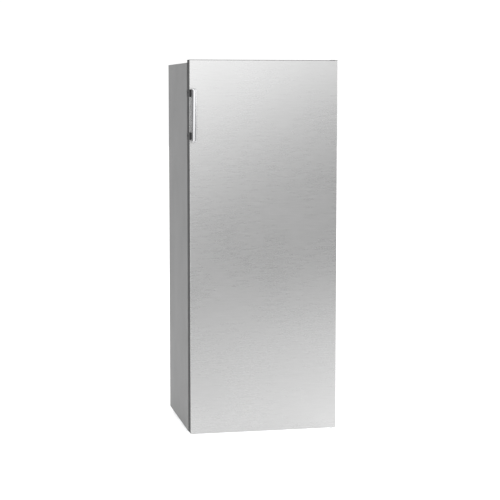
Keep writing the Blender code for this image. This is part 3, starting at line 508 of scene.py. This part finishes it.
def add_piece(name, shape, slot, body, replaces=(), finish=None, bevel=0.0, sharp=35):
    """A piece in world coordinates that rides on a body.

    Finish names a material other than its slot's. An edge is sharp, and is bevelled, above sharp degrees.
    """
    mesh = bpy.data.meshes.new(name)
    shape.to_mesh(mesh)
    shape.free()
    mesh.materials.append(MATERIALS[finish or slot])
    mesh.shade_smooth()
    mesh.set_sharp_from_angle(angle=radians(sharp))
    piece = bpy.data.objects.new(name, mesh)
    bpy.context.scene.collection.objects.link(piece)
    if bevel:
        modifier = piece.modifiers.new("bevel", "BEVEL")
        modifier.width = bevel
        modifier.segments = 3
        modifier.limit_method = "ANGLE"
        modifier.angle_limit = radians(sharp)
        modifier.harden_normals = True
    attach(piece, body)
    if replaces:
        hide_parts(*replaces)
    return piece


def add_tube(name, route, radius, slot, body, replaces):
    """A round pipe or wire along a route."""
    curve = bpy.data.curves.new(name, "CURVE")
    curve.dimensions = "3D"
    curve.bevel_depth = radius
    curve.bevel_resolution = 5
    curve.use_fill_caps = True
    spline = curve.splines.new("POLY")
    spline.points.add(len(route) - 1)
    for point, place in zip(spline.points, route):
        point.co = (*place, 1.0)
    spline.use_smooth = True
    curve.materials.append(MATERIALS[slot])
    tube = bpy.data.objects.new(name, curve)
    bpy.context.scene.collection.objects.link(tube)
    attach(tube, body)
    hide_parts(*replaces)


def carve(piece, cutter):
    """Cuts a shape out of a piece for good."""
    mesh = bpy.data.meshes.new("cutter")
    cutter.to_mesh(mesh)
    cutter.free()
    tool = bpy.data.objects.new("cutter", mesh)
    bpy.context.scene.collection.objects.link(tool)
    boolean = piece.modifiers.new("cut", "BOOLEAN")
    boolean.operation = "DIFFERENCE"
    boolean.object = tool
    piece.modifiers.move(len(piece.modifiers) - 1, 0)
    others = [modifier for modifier in piece.modifiers if modifier != boolean]
    for modifier in others:
        modifier.show_viewport = False
    graph = bpy.context.evaluated_depsgraph_get()
    result = bpy.data.meshes.new_from_object(piece.evaluated_get(graph), depsgraph=graph)
    for modifier in others:
        modifier.show_viewport = True
    piece.modifiers.remove(boolean)
    piece.data = result
    result.shade_smooth()
    result.set_sharp_from_angle(angle=radians(35))
    bpy.data.objects.remove(tool, do_unlink=True)


def add_screws(name, places, axis, radius, slot, body, height=0.0016, finish="zinc_screw"):
    """Domed screw heads with a cross recess, as one piece; axis is the way they face, such as -X."""
    sign = -1 if axis[0] == "-" else 1
    rim = 0.25
    profile = [(radius, 0.0), (radius, rim * height)]
    for angle in (0.35, 0.7, 1.05, 1.3):
        profile.append((radius * cos(angle), height * (rim + (1 - rim) * sin(angle))))
    profile = [(reach, sign * along) for reach, along in profile]
    shape = bmesh.new()
    for place in places:
        turned(profile, place, axis[-1], segments=20, shape=shape)
    screws = add_piece(name, shape, slot, body, finish=finish, sharp=50)
    arm, width = 0.55 * radius, 0.13 * radius
    corners = [(arm, -width), (arm, width), (width, width)]
    cross = []
    for _ in range(4):
        cross += corners
        corners = [(-across, along) for along, across in corners]
    crosses = bmesh.new()
    recess = (sign * 0.45 * height, sign * 2.45 * height)
    for place in places:
        loft([[Vector(place) + TURNS[axis[-1]](*point, along) for point in cross] for along in recess],
             shape=crosses)
    carve(screws, crosses)


# Door


def make_handle():
    """The round-ended bar, and its brackets folded round the door's edge."""
    low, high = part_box("handle_bar")
    centre = (low + high) / 2
    half = (high - low) / 2
    dome = 0.007
    angles = [radians(angle) for angle in (8, 22, 36, 50, 62, 73, 82, 90)]
    ends = [(half.x * sin(angle), dome * (1 - cos(angle))) for angle in angles]
    profile = [(radius, low.z + rise) for radius, rise in ends]
    profile += [(radius, high.z - rise) for radius, rise in reversed(ends)]
    shape = turned(profile, (centre.x, centre.y, 0), flatten=half.y / half.x)
    add_piece("handle_bar_finish", shape, "satin_chrome", DOOR, ["handle_bar"], sharp=70)
    for node in ("handle_bracket_upper", "handle_bracket_lower"):
        low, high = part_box(node)
        thickness = 0.0027
        outer, inner = 0.0052, 0.0025
        corner = (low.x + outer, low.y + outer)
        outline = [(high.x, low.y)]
        outline += [(x, y) for x, y in arc(corner, outer, 270, 180)]
        outline += [(low.x, high.y), (low.x + thickness, high.y)]
        outline += arc(corner, inner, 180, 270)
        outline += [(high.x, low.y + thickness)]
        heights = (low.z, high.z)
        bracket = add_piece(f"{node}_finish", pushed(outline, "Z", heights), "dark_grey_plastic", DOOR,
                            [node], bevel=0.0007)
        middle = (low.z + high.z) / 2
        sunk, sink = 0.0017, 0.0042
        places = [(low.x + sunk, door_low.y + depth, middle) for depth in (0.014, 0.034)]
        sinks = bmesh.new()
        for place in places:
            turned([(sink, -0.004), (sink, 0.0)], place, "X", segments=32, shape=sinks)
        carve(bracket, sinks)
        add_screws(f"{node}_screws", places, "-X", 0.0038, "black_paint", DOOR, height=0.0014,
                   finish="black_paint")


def make_gasket():
    """The magnetic seal: a magnet pocket on a folded bellows, with a dart along its back."""
    low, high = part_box("door_gasket")
    depth = high.y - low.y
    profile = [  # inward from the seal's outer edge, and the share of its depth
        (0.0030, 0), (0.0162, 0), (0.0178, 0.16), (0.0150, 0.30), (0.0182, 0.45), (0.0160, 0.58),
        (0.0190, 0.72), (0.0184, 0.94), (0.0176, 1), (0.0020, 1), (0.0006, 0.94), (0.0, 0.74),
        (0.0028, 0.58), (0.0006, 0.45), (0.0034, 0.30), (0.0012, 0.16),
    ]
    profile = [(-inward, low.y + share * depth) for inward, share in profile]
    shape = round_rings(profile, (low.x, low.z), (high.x, high.z), "Y")
    add_piece("door_gasket_finish", shape, "gasket_rubber", DOOR, ["door_gasket"], bevel=0.0004, sharp=25)


def make_rack_rims():
    """A white bead along the top of each clear rack, and ribs across its floor."""
    for node in ("bottle_rack", "door_rack_lower", "door_rack_upper", "dairy_rack"):
        low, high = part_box(node)
        bead, inset = 0.0014, 0.0002
        profile = [(x - 0.0012, z + high.z - 0.0045) for x, z in arc((0, 0), bead, 0, 360, 16)[:-1]]
        shape = round_rings(profile, (low.x + inset, low.y + inset), (high.x - inset, high.y - inset), "Z")
        add_piece(f"{node}_bead", shape, "white_plastic", node, sharp=50)
        ribs = bmesh.new()
        count, half, gap = 11, 0.0009, 0.004
        tray_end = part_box("egg_tray")[1].x + 0.003
        for index in range(count):
            x = low.x + (high.x - low.x) * (index + 0.5) / count
            if node == "door_rack_upper" and x < tray_end:
                continue  # the egg tray stands here
            add_box(ribs, (x - half, low.y + gap, low.z + 0.0028), (x + half, high.y - gap, low.z + 0.0038))
        add_piece(f"{node}_floor_ribs", ribs, "clear_plastic", node, bevel=0.0004)


def make_egg_tray():
    """A moulded tray with eight round cups and a rolled rim."""
    low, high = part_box("egg_tray")
    tray = add_piece("egg_tray_finish", boxed(low, high), "white_plastic", "egg_tray", ["egg_tray"],
                     bevel=0.0012)
    cups = bmesh.new()
    columns, rows = 4, 2
    across, deep = (high.x - low.x) / columns, (high.y - low.y) / rows
    cup = [(0.0012, -0.0172), (0.006, -0.0168), (0.0105, -0.0152), (0.0140, -0.0125), (0.0162, -0.0090),
           (0.0175, -0.0050), (0.0181, -0.0018), (0.0192, -0.0004), (0.0200, 0.0008)]
    for column in range(columns):
        for row in range(rows):
            centre = (low.x + across * (column + 0.5), low.y + deep * (row + 0.5), high.z)
            turned(cup, centre, segments=40, shape=cups)
    carve(tray, cups)


def make_dairy_cover():
    """The clear lid of the dairy rack, with its hinge barrel and a finger ridge along the lip."""
    low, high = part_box("dairy_cover")
    plate, radius = 0.002, 0.008
    top = high.z - 0.002
    corner = (high.y - radius, top - radius)
    outline = [(high.y - plate, low.z), (high.y, low.z)]
    outline += arc(corner, radius, 0, 90)
    outline += [(low.y + 0.003, top), (low.y + 0.003, top - plate)]
    outline += arc(corner, radius - plate, 90, 0)
    shape = pushed(outline, "X", (low.x, high.x))
    add_piece("dairy_cover_finish", shape, "clear_plastic", "dairy_cover", ["dairy_cover"], bevel=0.0006)
    barrel = 0.0028
    hinge = (0, low.y + 0.003, top - plate / 2)
    shape = turned([(barrel, low.x), (barrel, high.x)], hinge, "X", segments=24)
    add_piece("dairy_cover_barrel", shape, "clear_plastic", "dairy_cover", sharp=60)
    grip = 0.045
    inside = high.y - plate
    ridge = boxed((-grip, inside - 0.0020, low.z + 0.002), (grip, inside + 0.0002, low.z + 0.0045))
    add_piece("dairy_cover_grip", ridge, "clear_plastic", "dairy_cover", bevel=0.0008)


# Cabinet


def hinge_outline(low, high, arm, shoulder, margin=0.0):
    """A hinge plate from above, read from its box: a round-nosed arm that widens behind a shoulder."""
    right = high.x - margin
    radius = arm - margin
    pin = (high.x - arm, low.y + arm)
    nose = arc(pin, radius, 180, 360, 24)
    return nose + [
        (right, high.y - margin), (low.x + margin, high.y - margin),
        (low.x + margin, shoulder + margin), (pin[0] - radius, shoulder + margin),
    ]


def make_hinges():
    """The top hinge's cover with rounded edges and a hollow underside, and the screws on both hinge plates.
    """
    low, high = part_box("top_hinge_cover")
    arm, shoulder = 0.011, door_low.y + 0.064
    shape = pushed(hinge_outline(low, high, arm, shoulder), "Z", (low.z, high.z))
    cover = add_piece("top_hinge_cover_finish", shape, "dark_grey_plastic", CABINET, ["top_hinge_cover"],
                      bevel=0.002)
    wall, roof = 0.0017, 0.0025
    hollow = hinge_outline(low, high, arm, shoulder, wall)
    carve(cover, pushed(hollow, "Z", (low.z - 0.01, high.z - roof)))
    head, rise = 0.0042, 0.0020
    low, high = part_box("top_hinge_bracket")
    rows = (high.y - 0.012, high.y - 0.036)
    places = [(x, y, high.z) for x in (low.x + 0.014, high.x - 0.014) for y in rows]
    add_screws("top_hinge_screws", places, "Z", head, "galvanised_steel", CABINET, height=rise)
    low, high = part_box("bottom_hinge_bracket")
    places = [(x, high.y - 0.020, low.z) for x in (low.x + 0.009, high.x - 0.009)]
    add_screws("bottom_hinge_screws", places, "-Z", head, "galvanised_steel", CABINET, height=rise)


def make_back_screws():
    """Screws round the back panel's edge, and at the corners of the compressor's base plate."""
    low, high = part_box("back_panel")
    places = []
    inset, columns, rows = 0.010, 4, 6
    for column in range(columns):
        x = low.x + inset + (high.x - low.x - 2 * inset) * column / (columns - 1)
        places += [(x, high.y, low.z + inset), (x, high.y, high.z - inset)]
    for row in range(1, rows - 1):
        z = low.z + inset + (high.z - low.z - 2 * inset) * row / (rows - 1)
        places += [(low.x + inset, high.y, z), (high.x - inset, high.y, z)]
    add_screws("back_panel_screws", places, "Y", 0.0040, "galvanised_steel", CABINET)
    low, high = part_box("compressor_base_plate")
    columns, rows = (low.x + 0.012, high.x - 0.012), (low.y + 0.02, high.y - 0.02)
    places = [(x, y, high.z - FLANGE) for x in columns for y in rows]
    add_screws("base_plate_screws", places, "Z", 0.0045, "galvanised_steel", CABINET, height=0.0022)


def make_feet():
    """Levelling feet: a ribbed pad, a hexagon for the spanner and a threaded stud."""
    for node in ("foot_left", "foot_right"):
        low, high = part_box(node)
        centre = ((low.x + high.x) / 2, (low.y + high.y) / 2, 0)
        radius = (high.x - low.x) / 2
        pad = [(radius - 0.0015, 0.0), (radius - 0.0003, 0.0006), (radius, 0.0016), (radius, 0.0046),
               (radius - 0.0008, 0.0056), (0.0088, 0.0062)]
        shape = turned(pad, centre, segments=72, flutes=18, flute=0.0006)
        add_piece(f"{node}_pad", shape, "black_plastic", node, [node], sharp=30)
        profile = [(0.0092, 0.0060), (0.0095, 0.0064), (0.0095, 0.0106), (0.0090, 0.0111)]
        nut = turned(profile, centre, segments=6)
        add_piece(f"{node}_hexagon", nut, "black_plastic", node, bevel=0.0003)
        thread = [(0.0030, 0.0108)]
        root, crest, pitch = 0.0033, 0.0039, 0.00125
        for step in range(int((high.z - 0.012) / pitch)):
            z = 0.0112 + pitch * step
            thread += [(root, z), (crest, z + pitch / 2)]
        thread += [(root, high.z - 0.0006), (0.0028, high.z)]
        add_piece(f"{node}_stud", turned(thread, centre, segments=24), "galvanised_steel", node)


def make_rollers():
    """Rollers with a rounded tread, recessed sides and spoked hubs, and their axle with chamfered ends."""
    for node in ("roller_left", "roller_right"):
        low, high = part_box(node)
        centre = (low + high) / 2
        half, radius, bore = (high.x - low.x) / 2, (high.z - low.z) / 2, 0.0033
        side = [
            (bore, half - 0.0004), (0.0060, half - 0.0004), (0.0064, half - 0.0022),
            (0.0098, half - 0.0024), (0.0106, half - 0.0002), (0.0124, half),
            (radius - 0.0006, half - 0.0010), (radius, half - 0.0026),
        ]
        profile = [(reach, -along) for reach, along in side] + side[::-1]
        shape = turned(profile, centre, "X", bored=True)
        add_piece(f"{node}_tread", shape, "black_plastic", node, [node], sharp=28)
        spokes = bmesh.new()
        count, along, across = 6, half - 0.0008, 0.0007
        for index in range(count):
            turn = Matrix.Translation(centre) @ Matrix.Rotation(2 * pi * index / count, 4, "X")
            add_turned_box(spokes, (-along, 0.0056, -across), (along, 0.0104, across), turn)
        add_piece(f"{node}_spokes", spokes, "black_plastic", node, bevel=0.0003)
    low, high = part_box("roller_axle")
    centre = (low + high) / 2
    half = (high.x - low.x) / 2
    radius = (high.z - low.z) / 2
    chamfer = 0.0006
    end = [(radius, half - chamfer), (radius - chamfer, half)]
    profile = [(reach, -along) for reach, along in reversed(end)] + end
    shape = turned(profile, centre, "X", 32)
    add_piece("roller_axle_finish", shape, "galvanised_steel", CABINET, ["roller_axle"])


# Inside


def knob_centre():
    """The middle of the knob's face against the thermostat's housing."""
    low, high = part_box("thermostat_knob")
    return Vector((high.x, (low.y + high.y) / 2, (low.z + high.z) / 2))


def make_knob():
    """The thermostat's knob, with a fluted grip and a mark."""
    low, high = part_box("thermostat_knob")
    centre = knob_centre()
    radius = (high.z - low.z) / 2
    cap = [(radius, 0), (radius, -0.0018), (radius - 0.0006, -0.0024), (0.0138, -0.0030),
           (0.0132, -0.0040), (0.0126, -0.0096), (0.0118, -0.0108), (0.0080, -0.0114), (0.0015, -0.0115)]
    shape = turned(cap, centre, "X", segments=96)
    knob = "thermostat_knob"
    add_piece("thermostat_knob_finish", shape, "white_plastic", knob, [knob], sharp=30)
    fluted = 0.0140
    profile = [(fluted, -0.0046), (fluted, -0.0090)]
    grip = turned(profile, centre, "X", segments=120, flutes=30, flute=0.0009)
    add_piece("thermostat_knob_grip", grip, "white_plastic", knob, sharp=30)
    half = 0.0006
    mark = boxed((centre.x - 0.0119, centre.y - half, centre.z + 0.0030),
                 (centre.x - 0.0106, centre.y + half, centre.z + 0.0110))
    add_piece("thermostat_knob_mark", mark, "dark_grey_plastic", knob, bevel=0.0002)


def make_scale_and_vents():
    """The ticks round the knob, and the slots in the thermostat's housing."""
    centre = knob_centre()
    low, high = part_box("thermostat_housing")
    face = low.x
    ticks = bmesh.new()
    count, first, last = 7, -225.0, 45.0
    for index in range(count):
        angle = radians(first + (last - first) * index / (count - 1))
        turn = Matrix.Translation(centre) @ Matrix.Rotation(angle, 4, "X")
        add_turned_box(ticks, (0, 0.0188, -0.0003), (0.0002, 0.0214, 0.0003), turn)
    bmesh.ops.translate(ticks, verts=ticks.verts, vec=(face - 0.0001 - centre.x, 0, 0))
    add_piece("thermostat_scale", ticks, "dark_grey_plastic", CABINET)
    slots = bmesh.new()
    count, pitch, width, inset = 6, 0.004, 0.0018, 0.020
    for index in range(count):
        y = low.y + 0.108 + pitch * index
        add_box(slots, (face - 0.0002, y, low.z + inset), (face + 0.0004, y + width, high.z - inset))
    add_piece("thermostat_vents", slots, "dark_grey_plastic", CABINET)


def make_lamp():
    """The bulb and its socket, behind the clear cover."""
    low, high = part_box("lamp_cover")
    middle = Vector(((low.x + high.x) / 2 + 0.002, (low.y + high.y) / 2, (low.z + high.z) / 2))
    bulb = [(0.0062, -0.030), (0.0066, -0.014), (0.0090, -0.006), (0.0118, 0.004), (0.0124, 0.012),
            (0.0112, 0.020), (0.0080, 0.0262), (0.0040, 0.0290), (0.0008, 0.0298)]
    shape = turned(bulb, middle, "Y", 48)
    add_piece("lamp_bulb", shape, "white_plastic", CABINET, finish="white_liner", sharp=60)
    socket = [(0.0100, -0.044), (0.0100, -0.024), (0.0084, -0.022)]
    add_piece("lamp_socket", turned(socket, middle, "Y", 40), "white_plastic", CABINET, bevel=0.0005)


def make_shelf_edges():
    """A stop along the back of each pane, and a bright line along each trim."""
    for number in range(1, 5):
        low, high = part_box(f"shelf_{number}_glass")
        body = f"shelf_{number}"
        side_gap, rise = 0.009, 0.0030  # the gap keeps it clear of the liner's upper ribs
        rail = boxed((low.x + side_gap, high.y - 0.008, high.z + 0.0001),
                     (high.x - side_gap, high.y - 0.0005, high.z + rise))
        add_piece(f"shelf_{number}_rear_stop", rail, "white_plastic", body, bevel=0.0010)
        low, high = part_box(f"shelf_{number}_trim")
        middle = (low.z + high.z) / 2
        inset, half = 0.006, 0.0016
        line = boxed((low.x + inset, low.y - 0.00005, middle - half),
                     (high.x - inset, low.y + 0.0008, middle + half))
        add_piece(f"shelf_{number}_trim_line", line, "satin_chrome", body, bevel=0.0004)


def make_crisper_details():
    """Stiffening ribs across the drawer's front and a rounded rim along its top."""
    low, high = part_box("crisper_drawer")
    front = low.y + 0.012
    ribs = bmesh.new()
    inset = 0.012
    for rise in (0.050, 0.110, 0.170):
        z = low.z + rise
        add_box(ribs, (low.x + inset, front - 0.0012, z), (high.x - inset, front + 0.0005, z + 0.004))
    add_piece("crisper_drawer_ribs", ribs, "clear_plastic", "crisper_drawer", bevel=0.0006)
    radius, inset = 0.0016, 0.0018
    bead = [(x, y + high.z - 0.003) for x, y in arc((0, 0), radius, 0, 360, 16)[:-1]]
    shape = round_rings(bead, (low.x + inset, front + inset), (high.x - inset, high.y - inset), "Z")
    add_piece("crisper_drawer_rim", shape, "white_plastic", "crisper_drawer", sharp=50)


# Cooling


def make_compressor():
    """The welded can with its seam, mounting plate and rubber feet, and the relay cover's clip."""
    low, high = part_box("compressor")
    centre = Vector(((low.x + high.x) / 2, (low.y + high.y) / 2, 0))
    can = [
        (0.052, 0.0402), (0.064, 0.0418), (0.070, 0.0460), (0.0735, 0.0530), (0.075, 0.0620),
        (0.075, 0.1060), (0.0757, 0.1072), (0.0765, 0.1085), (0.0765, 0.1138), (0.0757, 0.1150),
        (0.0745, 0.1162), (0.0745, 0.1500), (0.0730, 0.1630), (0.0690, 0.1745), (0.0610, 0.1840),
        (0.0480, 0.1900), (0.0300, 0.1932), (0.0120, 0.1943), (0.0010, 0.1945),
    ]
    shape = turned(can, centre, segments=96, flatten=0.87)
    add_piece("compressor_can", shape, "black_paint", CABINET, ["compressor"], sharp=50)
    plate = boxed((low.x, low.y, 0.0385), (high.x, high.y, 0.0415))
    add_piece("compressor_mounting_plate", plate, "black_paint", CABINET, bevel=0.001)
    inset = 0.012
    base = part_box("compressor_base_plate")[1].z
    floor = base - FLANGE
    legs = [(x, y) for x in (low.x + inset, high.x - inset) for y in (low.y + inset, high.y - inset)]
    rubber, bolts = bmesh.new(), bmesh.new()
    for x, y in legs:
        grommet = [(0.0095, floor), (0.0102, floor + 0.0012), (0.0076, floor + 0.0030), (0.0076, 0.0375),
                   (0.0102, 0.0392), (0.0102, 0.0440), (0.0088, 0.0455), (0.0040, 0.0458)]
        turned(grommet, (x, y, 0), segments=36, shape=rubber)
        head = [(0.0050, 0.0456), (0.0052, 0.0460), (0.0052, 0.0492), (0.0046, 0.0498)]
        turned(head, (x, y, 0), segments=6, shape=bolts)
    add_piece("compressor_grommets", rubber, "black_plastic", CABINET, sharp=40)
    add_piece("compressor_bolts", bolts, "galvanised_steel", CABINET, finish="zinc_screw", bevel=0.0003)
    low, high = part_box("compressor_relay_cover")
    clip = boxed((low.x + 0.004, low.y - 0.0012, low.z + 0.020),
                 (high.x - 0.004, high.y + 0.0012, low.z + 0.026))
    add_piece("relay_cover_clip", clip, "galvanised_steel", CABINET, finish="zinc_screw", bevel=0.0004)


def make_condenser():
    """The painted serpentine tube with its grid of welded wires, and their stand-offs."""
    low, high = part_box("condenser_tube")
    radius = 0.0025
    y = high.y - radius
    grid_low, grid_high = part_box("condenser_wires")
    runs = 13
    first, last = 1.290, 0.310
    pitch = (first - last) / (runs - 1)
    riser, outlet, side = low.x + radius, high.x - radius, 0.205
    inlet = 0.250
    corners = [(riser, y, inlet), (riser, y, first)]
    for run in range(runs - 1):
        x = side if run % 2 == 0 else -side
        corners += [(x, y, first - pitch * run), (x, y, first - pitch * (run + 1))]
    drier_low, drier_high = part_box("filter_drier")
    drier_y = (drier_low.y + drier_high.y) / 2
    crossing = 0.218
    corners += [(outlet, y, last), (outlet, y, crossing), (outlet, drier_y, crossing)]
    corners.append((outlet, drier_y, drier_high.z + 0.0003))
    route = bent(corners, 0.016)
    add_tube("condenser_tube_finish", route, radius, "black_paint", CABINET, ["condenser_tube"])
    wire = 0.0008
    wires = bmesh.new()
    count = 44
    depth = grid_high.y - wire
    for index in range(count):
        x = grid_low.x + wire + (grid_high.x - grid_low.x - 2 * wire) * index / (count - 1)
        turned([(wire, grid_low.z), (wire, grid_high.z)], (x, depth, 0), segments=8, shape=wires)
    add_piece("condenser_wires_finish", wires, "black_paint", CABINET, ["condenser_wires"], sharp=80)
    feet = bmesh.new()
    half = 0.006
    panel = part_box("back_panel")[1].y
    near, far = panel + 0.0002, panel + 0.0014
    for run in (1.5, runs - 3.5):
        z = first - pitch * run
        for x in (-0.147, 0.147):
            add_box(feet, (x - half, near, z - half), (x + half, depth, z + half))
            add_box(feet, (x - 0.010, near, z - 0.012), (x + 0.010, far, z + 0.012))
    add_piece("condenser_stand_offs", feet, "black_plastic", CABINET, bevel=0.0006)


def make_pipes():
    """The copper discharge and suction pipes."""
    low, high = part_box("discharge_pipe")
    radius = 0.0025
    start, inner, outer = low.y, door_low.y + 0.508, high.y - radius
    riser = low.x + radius
    run = 0.140
    route = [
        (high.x - radius, start, run), (high.x - radius, inner, run), (riser + 0.030, inner, run),
        (riser, outer, run + 0.040), (riser, outer, high.z),
    ]
    add_tube("discharge_pipe_finish", bent(route, 0.007), radius, "copper", CABINET, ["discharge_pipe"])
    low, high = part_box("suction_pipe")
    radius = 0.004
    y = (low.y + high.y) / 2
    route = [(high.x, y, low.z + radius), (low.x + radius, y, low.z + radius), (low.x + radius, y, high.z)]
    add_tube("suction_pipe_finish", bent(route, 0.020), radius, "copper", CABINET, ["suction_pipe"])


def make_filter_drier():
    """A copper can, swaged down to the pipe at both ends."""
    low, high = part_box("filter_drier")
    centre = ((low.x + high.x) / 2, (low.y + high.y) / 2, 0)
    radius = (high.x - low.x) / 2
    top, bottom = high.z, low.z
    neck, tip, swage = 0.0031, 0.0021, 0.005
    profile = [(0.0030, top), (neck, top - swage)]
    for angle in (25, 50, 75, 90):
        turn = radians(angle)
        profile.append((neck + (radius - neck) * sin(turn), top - swage - 0.009 * (1 - cos(turn))))
    profile.append((radius, bottom + 0.016))
    for angle in (75, 50, 25):
        turn = radians(angle)
        profile.append((tip + (radius - tip) * sin(turn), bottom + swage + 0.010 * (1 - cos(turn))))
    profile += [(tip, bottom + swage), (0.0019, bottom)]
    shape = turned(profile, centre, segments=48)
    add_piece("filter_drier_finish", shape, "copper", CABINET, ["filter_drier"], sharp=60)


def make_drain_hose():
    """A ridged hose."""
    low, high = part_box("drain_hose")
    centre = ((low.x + high.x) / 2, (low.y + high.y) / 2, 0)
    ridges, radius, bore = 16, (high.x - low.x) / 2, 0.0055
    pitch = (high.z - low.z) / ridges
    outside = []
    for ridge in range(ridges):
        z = low.z + pitch * ridge
        outside += [(radius - 0.0012, z + 0.0002), (radius, z + pitch * 0.35), (radius, z + pitch * 0.65)]
    outside += [(radius - 0.0012, high.z)]
    profile = outside + [(bore, high.z), (bore, low.z + 0.0002)]
    shape = turned(profile, centre, segments=40, bored=True)
    add_piece("drain_hose_finish", shape, "black_plastic", CABINET, ["drain_hose"], sharp=60)


def make_bay_details():
    """The gland's flanged barrel, and a rolled rim round the evaporation tray."""
    low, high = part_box("cable_gland")
    centre = ((low.x + high.x) / 2, 0, (low.z + high.z) / 2)
    back, front = high.y, low.y
    flange = back - 0.0030
    bore, barrel, rim = 0.0040, 0.0077, 0.0110
    profile = [(bore, front), (0.0072, front), (barrel, front + 0.0008), (barrel, flange), (rim, flange),
               (rim, back - 0.0010), (0.0100, back - 0.0002), (0.0062, back), (bore, back)]
    shape = turned(profile, centre, "Y", segments=48, bored=True)
    add_piece("cable_gland_finish", shape, "black_plastic", CABINET, ["cable_gland"], sharp=30)
    low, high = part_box("evaporation_tray")
    bead = [(x - 0.0008, y + high.z - 0.0016) for x, y in arc((0, 0), 0.0015, 0, 360, 14)[:-1]]
    shape = round_rings(bead, (low.x, low.y), (high.x, high.y), "Z")
    add_piece("evaporation_tray_rim", shape, "black_plastic", CABINET, sharp=50)


# The whole

make_camera()
make_floor()
make_painted_reflections()
make_studio()

MATERIALS = make_materials()
for subpart in frame["record"]["subparts"]:
    slots = frame["nodes"][subpart["node"]].material_slots
    for index in range(len(slots)):
        slots[index].material = MATERIALS[subpart["material_slot"]]

make_handle()
make_gasket()
make_rack_rims()
make_egg_tray()
make_dairy_cover()
make_hinges()
make_back_screws()
make_feet()
make_rollers()
make_knob()
make_scale_and_vents()
make_lamp()
make_shelf_edges()
make_crisper_details()
make_compressor()
make_condenser()
make_pipes()
make_filter_drier()
make_drain_hose()
make_bay_details()
